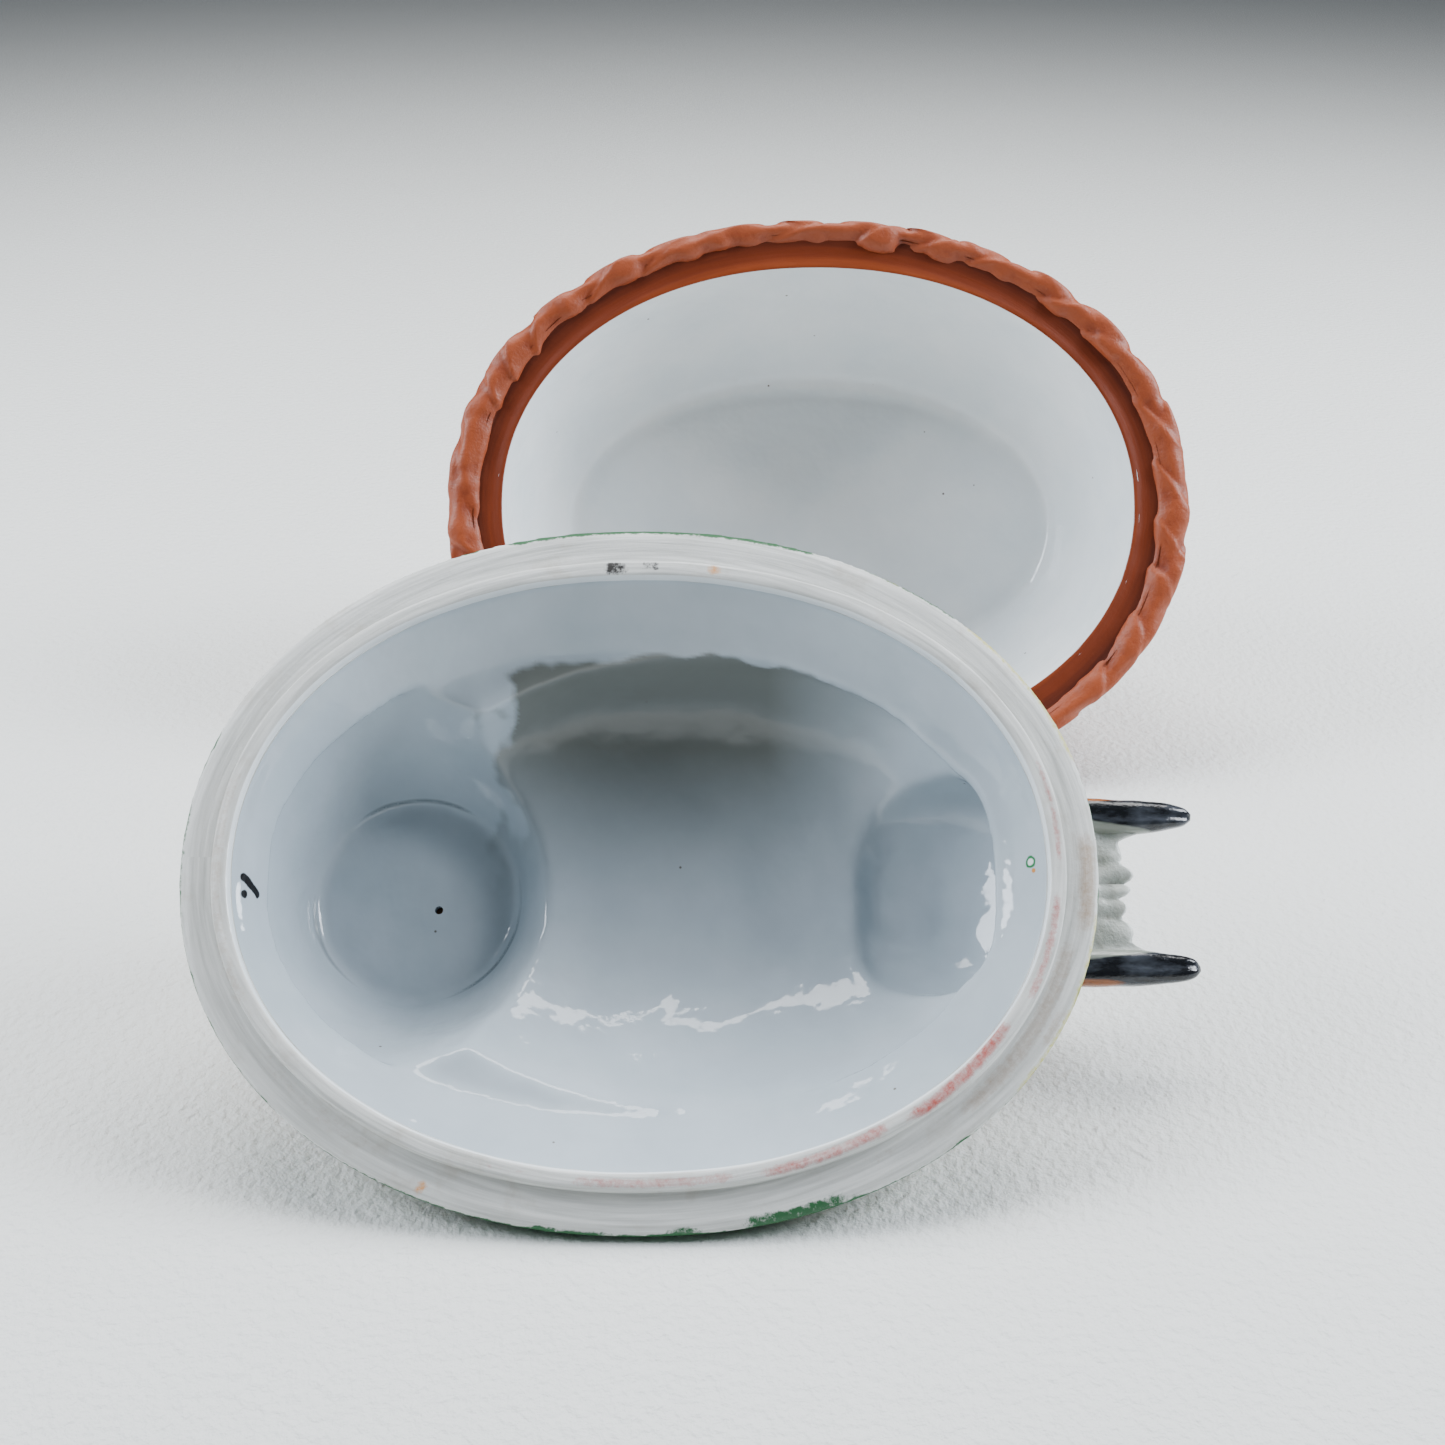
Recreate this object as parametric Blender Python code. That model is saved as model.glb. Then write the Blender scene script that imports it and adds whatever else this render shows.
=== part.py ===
"""Oval covered tureen: a woven nest bowl lying on its side and a bird lid lying on its back.

Every piece is drawn in the frame of its own half. In the bowl's frame the rim lies at z = 0 and
the foot below it. In the lid's frame the seat lies at z = 0, the bird above it and the locating
flange below it. Each half is then tipped over and lowered until it lies on the table, z = 0.
"""

from math import cos, pi, radians, sin, sqrt

import bmesh
import bpy
from mathutils import Matrix, Vector

# Driving dimensions, in metres.
LID_LENGTH = 0.280
LID_WIDTH = 0.2192
FLANGE_LENGTH = 0.2586
FLANGE_WIDTH = 0.1942
FLANGE_HEIGHT = 0.004
FLANGE_THICKNESS = 0.0055
FLANGE_CLEARANCE = 0.0015
RIM_CLEARANCE = 0.0008
GAP = 0.0003

FRILL_WIDTH_ENDS = 0.0118
FRILL_WIDTH_SIDES = 0.0062
FRILL_WAVE = 0.0011
FRILL_LOBES = 46
LEDGE_DROP = 0.004
LEDGE_THICKNESS = 0.004

BOWL_HEIGHT = 0.090
BOWL_WALL = 0.0055
BOWL_FLOOR = 0.0055
FLOOR_LENGTH = 0.211
FLOOR_WIDTH = 0.120
FOOT_HEIGHT = 0.005
FOOT_LENGTH = 0.226
FOOT_WIDTH = 0.137
FOOT_RING_WIDTH = 0.009
WEAVE_THICKNESS = 0.0035
WEAVE_RELIEF = 0.0012
WEAVE_ROWS = 6

BRIM_EDGE = 0.007
EDGE_ROUND = 0.002
BRIM_HEIGHT = 0.017
LID_WALL = 0.0055
BODY_FRONT = 0.1165
BODY_BACK = 0.113
BODY_HALF_WIDTH = 0.077
BODY_HEIGHT = 0.060
NECK_X = -0.077
NECK_BORE_RADIUS = 0.034
NECK_FLOOR_HEIGHT = 0.063
NECK_FLOOR = 0.005
VENT_RADIUS = 0.0014
RUMP_X = 0.092
RUMP_HEIGHT = 0.038
RUMP_LENGTH = 0.068
RUMP_WIDTH = 0.072
RUMP_DEPTH = 0.040

HEAD_RADIUS = 0.038
HEAD_CENTRE_HEIGHT = 0.062
HEAD_WALL = 0.004
BEAK_LENGTH = 0.016
BEAK_RADIUS = 0.0062
EYE_RADIUS = 0.0042
LEAF_THICKNESS = 0.003
LEAF_COUNT = 24
WING_THICKNESS = 0.0042
WING_SINK = 0.002
WING_FRONT_X = -0.035
WING_BACK_X = 0.092
TAIL_HEIGHT = 0.040
TAIL_REACH = 0.0205
TAIL_THICKNESS = 0.007
TIP_REACH = 0.039
TIP_SPACING = 0.048
TIP_RADIUS = 0.0052
TIP_PROFILE = [
    (0.0, 0.75, 1.3),
    (0.2, 1.0, 1.2),
    (0.4, 1.05, 1.1),
    (0.62, 1.0, 1.0),
    (0.8, 0.92, 0.85),
    (0.93, 0.7, 0.6),
    (1.0, 0.3, 0.25),
]

BOWL_BESIDE = 0.064
BOWL_BEHIND = 0.234

OVAL_POWER = 2.1
AROUND = 48


def clear_scene():
    for item in list(bpy.data.objects):
        bpy.data.objects.remove(item, do_unlink=True)


def paint(name, hex_colour, roughness):
    """One Principled material; the colour is given as it looks on screen."""
    channels = [int(hex_colour[i:i + 2], 16) / 255 for i in (0, 2, 4)]
    linear = [c / 12.92 if c <= 0.04045 else ((c + 0.055) / 1.055) ** 2.4 for c in channels]
    material = bpy.data.materials.new(name)
    material.use_nodes = True
    shader = material.node_tree.nodes["Principled BSDF"]
    shader.inputs["Base Color"].default_value = (*linear, 1.0)
    shader.inputs["Roughness"].default_value = roughness
    shader.inputs["Metallic"].default_value = 0.0
    return material


def signed_power(value, power):
    return abs(value) ** power * (1 if value >= 0 else -1)


def oval(front, back, half_width, z, count=AROUND):
    """A superellipse ring that reaches -front and +back along X, and half_width each way in Y."""
    points = []
    for k in range(count):
        angle = 2 * pi * k / count
        along = signed_power(cos(angle), 2 / OVAL_POWER)
        across = signed_power(sin(angle), 2 / OVAL_POWER)
        reach = back if along >= 0 else front
        points.append(Vector((along * reach, across * half_width, z)))
    return points


def even_oval(half_length, half_width, z, count=AROUND):
    return oval(half_length, half_length, half_width, z, count)


def circle(x, radius, z, count=32):
    turns = [2 * pi * k / count for k in range(count)]
    return [Vector((x + radius * cos(t), radius * sin(t), z)) for t in turns]


def add_piece(name, mesh_builder, parent, material):
    """Run mesh_builder on an empty bmesh and hang the result on one half of the tureen."""
    bm = bmesh.new()
    mesh_builder(bm)
    bmesh.ops.recalc_face_normals(bm, faces=bm.faces)
    mesh = bpy.data.meshes.new(name)
    bm.to_mesh(mesh)
    bm.free()
    mesh.shade_smooth()
    mesh.set_sharp_from_angle(angle=radians(40))
    mesh.materials.append(material)
    piece = bpy.data.objects.new(name, mesh)
    bpy.context.collection.objects.link(piece)
    piece.parent = parent
    return piece


def skin(rings, looped=False):
    """Bridge rings of equal length; single points close an end, looped joins last to first."""
    def build(bm):
        rows = [[bm.verts.new(p) for p in ring] for ring in rings]
        pairs = list(zip(rows, rows[1:]))
        if looped:
            pairs.append((rows[-1], rows[0]))
        for low, high in pairs:
            count = max(len(low), len(high))
            for k in range(count):
                after = (k + 1) % count
                if len(low) == 1:
                    bm.faces.new((low[0], high[k], high[after]))
                elif len(high) == 1:
                    bm.faces.new((low[k], low[after], high[0]))
                else:
                    bm.faces.new((low[k], low[after], high[after], high[k]))
        if not looped:
            for row in (rows[0], rows[-1]):
                if len(row) > 1:
                    bm.faces.new(row)
    return build


def hide_as_tool(piece):
    piece.hide_render = True
    piece.display_type = "WIRE"


def combine(piece, tool, operation):
    modifier = piece.modifiers.new(operation.lower() + "_" + tool.name, "BOOLEAN")
    modifier.operation = operation
    modifier.object = tool
    hide_as_tool(tool)


# Sizes of the rim that both halves share, worked out from the lid.
LID_A = LID_LENGTH / 2
LID_B = LID_WIDTH / 2
FLANGE_A = FLANGE_LENGTH / 2
FLANGE_B = FLANGE_WIDTH / 2
MOUTH_A = FLANGE_A + FLANGE_CLEARANCE
MOUTH_B = FLANGE_B + FLANGE_CLEARANCE
LEDGE_A = LID_A + RIM_CLEARANCE
LEDGE_B = LID_B + RIM_CLEARANCE
LEDGE_TOP = -LEDGE_DROP
LEDGE_UNDER = LEDGE_TOP - LEDGE_THICKNESS
FLOOR_TOP = -BOWL_HEIGHT + FOOT_HEIGHT + BOWL_FLOOR
BODY_UNDER = -BOWL_HEIGHT + FOOT_HEIGHT
WALL_TOP = LEDGE_UNDER - GAP
WALL_LEVELS = [0, 0.05, 0.11, 0.2, 0.32, 0.46, 0.62, 0.78, 0.92, 1]


# The bowl.

def bowl_wall_ring(level, grow):
    """Ring of the bowl's wall; level runs 0 at the floor's edge to 1 at the mouth."""
    spread = 0.45 * level + 0.55 * sqrt(1 - (1 - level) ** 2)
    half_length = FLOOR_LENGTH / 2 + (MOUTH_A - FLOOR_LENGTH / 2) * spread + grow
    half_width = FLOOR_WIDTH / 2 + (MOUTH_B - FLOOR_WIDTH / 2) * spread + grow
    return even_oval(half_length, half_width, FLOOR_TOP + (WALL_TOP - FLOOR_TOP) * level)


def make_bowl_body(parent, material):
    inner = [bowl_wall_ring(level, 0) for level in WALL_LEVELS]
    outer = [bowl_wall_ring(level, BOWL_WALL) for level in WALL_LEVELS]
    for point in outer[0]:
        point.z = BODY_UNDER
    rings = [[Vector((0, 0, FLOOR_TOP))]]
    rings.append(even_oval(FLOOR_LENGTH / 4, FLOOR_WIDTH / 4, FLOOR_TOP))
    rings += inner + list(reversed(outer))
    rings.append(even_oval(FLOOR_LENGTH / 4, FLOOR_WIDTH / 4, BODY_UNDER))
    rings.append([Vector((0, 0, BODY_UNDER))])
    return add_piece("bowl_body", skin(rings), parent, material)


def make_rim_ledge(parent, material):
    rings = [
        even_oval(MOUTH_A, MOUTH_B, LEDGE_UNDER),
        even_oval(MOUTH_A, MOUTH_B, LEDGE_TOP - 0.0008),
        even_oval(MOUTH_A + 0.0008, MOUTH_B + 0.0008, LEDGE_TOP),
        even_oval(LEDGE_A, LEDGE_B, LEDGE_TOP),
        even_oval(LEDGE_A, LEDGE_B, LEDGE_UNDER),
    ]
    return add_piece("rim_ledge", skin(rings, looped=True), parent, material)


def make_rim_frill(parent, material):
    """A ring of leaning lobes: each ring of its section is pushed out by the lobe's wave."""
    count = FRILL_LOBES * 3
    inner_a = LEDGE_A + GAP
    inner_b = LEDGE_B + GAP
    section = [
        (0.00, LEDGE_UNDER - 0.003, 0.0),
        (0.00, -0.0025, 0.0),
        (0.18, -0.0006, 0.35),
        (0.52, 0.0, 0.7),
        (0.88, -0.0018, 1.0),
        (1.00, -0.0055, 1.0),
        (0.86, -0.0095, 0.8),
        (0.45, LEDGE_UNDER - 0.0042, 0.3),
    ]
    rings = []
    for share, z, wave in section:
        ring = even_oval(inner_a, inner_b, z, count)
        for k, point in enumerate(ring):
            angle = 2 * pi * k / count
            lobe = FRILL_WAVE * wave * cos(FRILL_LOBES * angle)
            point.x += cos(angle) * (FRILL_WIDTH_ENDS * share + lobe)
            point.y += sin(angle) * (FRILL_WIDTH_SIDES * share + lobe)
        rings.append(ring)
    return add_piece("rim_frill", skin(rings, looped=True), parent, material)


def make_woven_jacket(parent, material):
    """Rows of weave around the wall: the outside swells and dips once for each row."""
    clad = WALL_LEVELS[1:-1]
    inner = [bowl_wall_ring(level, BOWL_WALL + GAP) for level in clad]
    outer = []
    steps = WEAVE_ROWS * 2
    for k in range(steps + 1):
        level = clad[0] + (clad[-1] - clad[0]) * k / steps
        swell = WEAVE_THICKNESS + (WEAVE_RELIEF if k % 2 else 0.0)
        outer.append(bowl_wall_ring(level, BOWL_WALL + GAP + swell))
    rings = outer + list(reversed(inner))
    return add_piece("woven_jacket", skin(rings, looped=True), parent, material)


def make_foot_ring(parent, material):
    a = FOOT_LENGTH / 2
    b = FOOT_WIDTH / 2
    top = BODY_UNDER - GAP
    under = -BOWL_HEIGHT
    rings = [
        even_oval(a - 0.001, b - 0.001, under),
        even_oval(a, b, under + 0.001),
        even_oval(a - 0.001, b - 0.001, top),
        even_oval(a - FOOT_RING_WIDTH, b - FOOT_RING_WIDTH, top),
        even_oval(a - FOOT_RING_WIDTH, b - FOOT_RING_WIDTH, under),
    ]
    return add_piece("foot_ring", skin(rings, looped=True), parent, material)


# The lid.

def body_ring(share, shrink):
    """Ring of the bird's body; share runs 0 at the brim to 1 at the top of the back."""
    narrowing = (1 - share ** 2.2) ** (1 / 2.2)
    height = BRIM_HEIGHT + (BODY_HEIGHT - BRIM_HEIGHT) * share
    front = (BODY_FRONT - shrink) * narrowing
    back = (BODY_BACK - shrink) * narrowing
    half_width = (BODY_HALF_WIDTH - shrink) * narrowing
    return oval(front, back, half_width, height - shrink * share)


BODY_SHARES = [0.0, 0.2, 0.4, 0.58, 0.74, 0.87, 0.96]


def brim_ring(share, shrink, count=AROUND):
    """Ring of the hollow curve from the brim's edge up to the body's foot."""
    drop = sin(share * pi / 2)
    rise = 0.35 * drop + 0.65 * (1 - cos(share * pi / 2))
    edge_a = FLANGE_A - FLANGE_THICKNESS if shrink else LID_A - EDGE_ROUND
    edge_b = FLANGE_B - FLANGE_THICKNESS if shrink else LID_B - EDGE_ROUND
    start = 0.0 if shrink else BRIM_EDGE
    front = edge_a + (BODY_FRONT - shrink - edge_a) * drop
    back = edge_a + (BODY_BACK - shrink - edge_a) * drop
    half_width = edge_b + (BODY_HALF_WIDTH - shrink - edge_b) * drop
    return oval(front, back, half_width, start + (BRIM_HEIGHT - start) * rise, count)


def make_ellipsoid(name, centre, radii, parent, material, columns=24, rows=12):
    rings = [[centre - Vector((0, 0, radii[2]))]]
    for row in range(1, rows):
        angle = pi * row / rows
        level = -cos(angle) * radii[2]
        ring = []
        for k in range(columns):
            turn = 2 * pi * k / columns
            offset = Vector((cos(turn) * radii[0], sin(turn) * radii[1], 0)) * sin(angle)
            ring.append(centre + offset + Vector((0, 0, level)))
        rings.append(ring)
    rings.append([centre + Vector((0, 0, radii[2]))])
    return add_piece(name, skin(rings), parent, material)


def make_lid_shell(parent, material):
    """Outside and inside are drawn apart: body, neck and rump are joined, then hollowed."""
    neck_top = NECK_FLOOR_HEIGHT + NECK_FLOOR
    neck_radius = NECK_BORE_RADIUS + LID_WALL
    outside = [[Vector((0, 0, 0))]]
    outside.append(even_oval(LID_A - 0.0006, LID_B - 0.0006, 0))
    outside.append(even_oval(LID_A, LID_B, 0.0008))
    outside.append(even_oval(LID_A, LID_B, BRIM_EDGE - EDGE_ROUND))
    outside += [brim_ring(share, 0.0) for share in (0.0, 0.4, 0.75)]
    outside += [body_ring(share, 0.0) for share in BODY_SHARES]
    outside.append([Vector((0, 0, BODY_HEIGHT))])
    shell = add_piece("lid_shell", skin(outside), parent, material)

    inside = [[Vector((0, 0, -0.01))]]
    inside.append(even_oval(FLANGE_A - FLANGE_THICKNESS, FLANGE_B - FLANGE_THICKNESS, -0.01))
    inside += [brim_ring(share, LID_WALL) for share in (0.0, 0.4, 0.75)]
    inside += [body_ring(share, LID_WALL) for share in BODY_SHARES]
    inside.append([Vector((0, 0, BODY_HEIGHT - LID_WALL))])
    hollow = add_piece("hollow", skin(inside), parent, material)

    neck = [circle(NECK_X, neck_radius + 0.001, BRIM_HEIGHT + 0.012)]
    neck.append(circle(NECK_X, neck_radius, neck_top - 0.004))
    neck.append(circle(NECK_X, neck_radius - 0.002, neck_top))
    neck_solid = add_piece("neck", skin(neck), parent, material)
    bore = [circle(NECK_X, NECK_BORE_RADIUS + 0.001, BRIM_HEIGHT + 0.013)]
    bore.append(circle(NECK_X, NECK_BORE_RADIUS, NECK_FLOOR_HEIGHT - 0.002))
    bore.append(circle(NECK_X, NECK_BORE_RADIUS - 0.002, NECK_FLOOR_HEIGHT))
    bore_solid = add_piece("neck_bore", skin(bore), parent, material)
    vent = [circle(NECK_X, VENT_RADIUS, z, 12) for z in (NECK_FLOOR_HEIGHT - 0.01, neck_top + 0.01)]
    vent_solid = add_piece("vent", skin(vent), parent, material)

    centre = Vector((RUMP_X, 0, RUMP_HEIGHT))
    radii = Vector((RUMP_LENGTH, RUMP_WIDTH, RUMP_DEPTH)) / 2
    wall = Vector((LID_WALL, LID_WALL, LID_WALL))
    rump = make_ellipsoid("rump", centre, radii, parent, material)
    rump_hollow = make_ellipsoid("rump_hollow", centre, radii - wall, parent, material)

    for tool in (neck_solid, rump):
        combine(shell, tool, "UNION")
    for tool in (hollow, bore_solid, rump_hollow, vent_solid):
        combine(shell, tool, "DIFFERENCE")
    return shell


def make_locating_flange(parent, material):
    inner_a = FLANGE_A - FLANGE_THICKNESS
    inner_b = FLANGE_B - FLANGE_THICKNESS
    rings = [
        even_oval(FLANGE_A + 0.001, FLANGE_B + 0.001, -GAP),
        even_oval(FLANGE_A, FLANGE_B, -0.0012),
        even_oval(FLANGE_A - 0.0004, FLANGE_B - 0.0004, 0.001 - FLANGE_HEIGHT),
        even_oval(FLANGE_A - 0.0016, FLANGE_B - 0.0016, -FLANGE_HEIGHT),
        even_oval(inner_a + 0.0014, inner_b + 0.0014, -FLANGE_HEIGHT),
        even_oval(inner_a, inner_b, 0.0014 - FLANGE_HEIGHT),
        even_oval(inner_a, inner_b, -GAP),
    ]
    return add_piece("locating_flange", skin(rings, looped=True), parent, material)


def make_leaf_border(parent, material):
    """Overlapping leaves on the brim's outside: a ribbon whose thickness swells at each leaf."""
    count = LEAF_COUNT * 3

    def ribbon(share, lift, wave):
        ring = []
        for k, point in enumerate(brim_ring(share, 0.0, count)):
            angle = 2 * pi * k / count
            swell = lift * (1 + wave * cos(LEAF_COUNT * angle))
            outward = Vector((cos(angle), sin(angle), 2)).normalized()
            ring.append(point + outward * swell)
        return ring

    seat = 2 * GAP
    shares = (0.06, 0.3, 0.55, 0.8, 0.97)
    thickness = (0.4, 1.0, 1.0, 1.0, 0.5)
    under = [ribbon(share, seat, 0.0) for share in shares]
    over = [ribbon(share, seat + LEAF_THICKNESS * t, 0.25) for share, t in zip(shares, thickness)]
    return add_piece("leaf_border", skin(under + list(reversed(over)), True), parent, material)


def head_ring(height, shrink, count=28):
    level = height - HEAD_CENTRE_HEIGHT
    radius = HEAD_RADIUS - shrink
    return circle(NECK_X, sqrt(max(radius ** 2 - level ** 2, 0.0)), height, count)


def make_head(parent, material):
    """A hollow dome, open below, that closes the neck over the vent hole."""
    base = NECK_FLOOR_HEIGHT + NECK_FLOOR + GAP
    top = HEAD_CENTRE_HEIGHT + HEAD_RADIUS
    inner_top = top - HEAD_WALL
    outer = [head_ring(base + (top - base) * s, 0.0) for s in (0, 0.25, 0.48, 0.68, 0.84, 0.95)]
    inner = [head_ring(base + (inner_top - base) * s, HEAD_WALL) for s in (0, 0.4, 0.72, 0.92)]
    rings = [[Vector((NECK_X, 0, top))]] + list(reversed(outer))
    rings += inner + [[Vector((NECK_X, 0, inner_top))]]
    return add_piece("bird_head", skin(rings), parent, material)


def head_point(turn, lift, beyond):
    """Point over the head, turned from its front (-X) and lifted, both in degrees."""
    reach = HEAD_RADIUS + beyond
    out = Vector((-cos(radians(turn)) * cos(radians(lift)), sin(radians(turn)) * cos(radians(lift)),
                  sin(radians(lift))))
    return Vector((NECK_X, 0, HEAD_CENTRE_HEIGHT)) + out * reach, out


def make_horn(name, stations, parent, material, count=12):
    """Loft of tilted circles; each station is a centre, a direction, a width and a height."""
    rings = []
    for centre, direction, wide, high in stations:
        side = Vector((0, 0, 1)).cross(direction).normalized()
        up = direction.cross(side).normalized()
        turns = [2 * pi * k / count for k in range(count)]
        rings.append([centre + side * wide * cos(t) + up * high * sin(t) for t in turns])
    return add_piece(name, skin(rings), parent, material)


def make_beak(parent, material):
    root, _ = head_point(0, 19, 0.0015)
    forward = Vector((-1, 0, -0.18)).normalized()
    half = BEAK_RADIUS
    pieces = []
    for name, side in (("beak_upper", 1), ("beak_lower", -1)):
        stations = []
        for share in (0.0, 0.35, 0.7, 1.0):
            size = 1 - 0.8 * share ** 1.3
            thick = half * size * (0.55 if side > 0 else 0.32)
            offset = Vector((0, 0, side * (thick + GAP / 2 + 0.0001)))
            centre = root + forward * (0.002 + BEAK_LENGTH * share * (1 if side > 0 else 0.8)) + offset
            stations.append((centre, forward, half * size, thick))
        pieces.append(make_horn(name, stations, parent, material))
    return pieces


def make_eyes(parent, material):
    for name, turn in (("eye_left", -52), ("eye_right", 52)):
        centre, out = head_point(turn, 34, EYE_RADIUS * 0.32)
        side = Vector((0, 0, 1)).cross(out).normalized()
        up = out.cross(side)
        rings = []
        for share in (0, 0.5, 0.85):
            size = EYE_RADIUS * sqrt(1 - share ** 2)
            level = centre + out * EYE_RADIUS * 0.5 * share
            turns = [2 * pi * k / 12 for k in range(12)]
            rings.append([level + side * size * cos(t) + up * size * sin(t) for t in turns])
        rings.append([centre + out * EYE_RADIUS * 0.5])
        add_piece(name, skin(rings), parent, material)


def make_clearances(parent, material):
    """Solids a gap larger than the body and the rump; what is luted on is cut by them."""
    rings = [oval(BODY_FRONT, BODY_BACK, BODY_HALF_WIDTH + GAP, 0.0)]
    rings += [body_ring(share, -1.3 * GAP) for share in BODY_SHARES]
    rings.append([Vector((0, 0, BODY_HEIGHT + 1.3 * GAP))])
    body = add_piece("body_clearance", skin(rings), parent, material)
    centre = Vector((RUMP_X, 0, RUMP_HEIGHT))
    radii = Vector((RUMP_LENGTH, RUMP_WIDTH, RUMP_DEPTH)) / 2
    gap = Vector((GAP, GAP, GAP)) * 1.3
    rump = make_ellipsoid("rump_clearance", centre, radii + gap, parent, material)
    return body, rump


def cut_clear_of_body(piece, clearances):
    for tool in clearances:
        combine(piece, tool, "DIFFERENCE")


def body_half_width(x, height):
    """Half width of the body's outside at one place along it and one height."""
    share = (height - BRIM_HEIGHT) / (BODY_HEIGHT - BRIM_HEIGHT)
    narrowing = (1 - min(max(share, 0.0), 1.0) ** 2.2) ** (1 / 2.2)
    reach = (BODY_BACK if x >= 0 else BODY_FRONT) * narrowing
    inside = 1 - (abs(x) / reach) ** OVAL_POWER
    return BODY_HALF_WIDTH * narrowing * max(inside, 0.0) ** (1 / OVAL_POWER)


def make_wings(parent, material, clearances):
    """Each wing is a leaf-shaped plate that follows the body's side."""
    columns = 10
    rows = 6
    low = BRIM_HEIGHT + 0.010
    high = BODY_HEIGHT - 0.011
    for name, side in (("wing_left", -1), ("wing_right", 1)):
        def place(u, v, thick, side=side):
            x = WING_FRONT_X + (WING_BACK_X - WING_FRONT_X) * u
            spread = sin(pi * (0.14 + 0.72 * u)) ** 0.7
            middle = low + (high - low) * (0.46 + 0.04 * u)
            height = middle + (v - 0.5) * (high - low) * spread
            edge = min(v, 1 - v, u, 1 - u)
            swell = WING_THICKNESS * (0.45 + 0.55 * min(edge * 4, 1.0)) if thick else -WING_SINK
            return Vector((x, side * (body_half_width(x, height) + swell), height + 0.4 * swell))

        def build(bm, place=place):
            grids = []
            for thick in (False, True):
                grid = []
                for i in range(columns + 1):
                    row = [bm.verts.new(place(i / columns, j / rows, thick)) for j in range(rows + 1)]
                    grid.append(row)
                grids.append(grid)
                for i in range(columns):
                    for j in range(rows):
                        bm.faces.new((grid[i][j], grid[i + 1][j], grid[i + 1][j + 1], grid[i][j + 1]))
            inner, outer = grids
            border = [(i, 0) for i in range(columns)] + [(columns, j) for j in range(rows)]
            border += [(i, rows) for i in range(columns, 0, -1)] + [(0, j) for j in range(rows, 0, -1)]
            for (i, j), (m, n) in zip(border, border[1:] + border[:1]):
                bm.faces.new((inner[i][j], inner[m][n], outer[m][n], outer[i][j]))

        wing = add_piece(name, build, parent, material)
        cut_clear_of_body(wing, clearances)


def make_wing_tips(parent, material, clearances):
    """Two folded flight feathers that leave the wings and reach past the tail."""
    for name, side in (("wing_tip_left", -1), ("wing_tip_right", 1)):
        start_x = WING_BACK_X + GAP
        end_x = LID_A + TIP_REACH
        start_y = body_half_width(WING_BACK_X, TAIL_HEIGHT) + 0.001
        stations = []
        for share, wide, high in TIP_PROFILE:
            x = start_x + (end_x - start_x) * share
            bend = 1 - min(share / 0.62, 1.0)
            y = TIP_SPACING / 2 + (start_y - TIP_SPACING / 2) * bend ** 1.4
            slope = -1.4 * bend ** 0.4 * (start_y - TIP_SPACING / 2) / (0.62 * (end_x - start_x))
            direction = Vector((1, side * slope if share else 0, 0)).normalized()
            centre = Vector((x, side * y, TAIL_HEIGHT))
            stations.append((centre, direction, TIP_RADIUS * wide, TIP_RADIUS * high))
        tip = make_horn(name, stations, parent, material)
        cut_clear_of_body(tip, clearances)


def make_tail(parent, material, clearances):
    """A short fan with a scalloped end, between the two wing tips."""
    start = RUMP_X + RUMP_LENGTH / 2 - 0.006
    end = LID_A + TAIL_REACH
    half = TIP_SPACING / 2 - 1.1 * TIP_RADIUS - GAP
    scallops = 4
    steps = scallops * 4
    outline = [(start, half * 0.8), (end - 0.010, half)]
    for k in range(steps + 1):
        y = half * (1 - 2 * k / steps)
        bulge = 0.0045 * abs(sin(pi * scallops * k / steps))
        outline.append((end - 0.0045 + bulge, y))
    outline += [(end - 0.010, -half), (start, -half * 0.8)]

    def build(bm):
        for_top = []
        for_under = []
        for x, y in outline:
            fall = 0.5 + 0.5 * (1 - (x - start) / (end - start))
            thick = TAIL_THICKNESS / 2 * fall
            for_top.append(bm.verts.new((x, y, TAIL_HEIGHT + thick)))
            for_under.append(bm.verts.new((x, y, TAIL_HEIGHT - thick)))
        bm.faces.new(for_top)
        bm.faces.new(for_under)
        count = len(outline)
        for k in range(count):
            after = (k + 1) % count
            bm.faces.new((for_top[k], for_top[after], for_under[after], for_under[k]))

    tail = add_piece("tail", build, parent, material)
    cut_clear_of_body(tail, clearances)


# Laying both halves on the table.

def table_points(half):
    """The half's real vertices in its own frame."""
    bpy.context.view_layer.update()
    graph = bpy.context.evaluated_depsgraph_get()
    points = []
    for piece in half.children:
        if piece.hide_render:
            continue
        mesh = piece.evaluated_get(graph).to_mesh()
        points += [v.co.copy() for v in mesh.vertices]
    return points


def lean_until_two_rest(points, start, split_height):
    """Lean at which the points below and above split_height touch the table together."""
    def gap_between(lean):
        turn = Matrix.Rotation(lean, 3, "X")
        lows = [turn @ p for p in points if p.z < split_height]
        highs = [turn @ p for p in points if p.z >= split_height]
        return min(p.z for p in lows) - min(p.z for p in highs)

    low, high = start - radians(30), start + radians(30)
    rising = gap_between(high) > gap_between(low)
    for _ in range(40):
        middle = (low + high) / 2
        if (gap_between(middle) > 0) == rising:
            high = middle
        else:
            low = middle
    return (low + high) / 2


def lay_down(half, start, split_height, x, y):
    """Tip the half over until it rests on two places, and return the world points it fills."""
    points = table_points(half)
    lean = lean_until_two_rest(points, start, split_height)
    turn = Matrix.Rotation(lean, 3, "X")
    lowest = min((turn @ p).z for p in points)
    half.rotation_euler = (lean, 0, 0)
    half.location = (x, y, -lowest)
    return [turn @ p + half.location for p in points]


def centre_over_origin(halves, points):
    for axis in (0, 1):
        values = [p[axis] for p in points]
        middle = (min(values) + max(values)) / 2
        for half in halves:
            half.location[axis] -= middle


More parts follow.
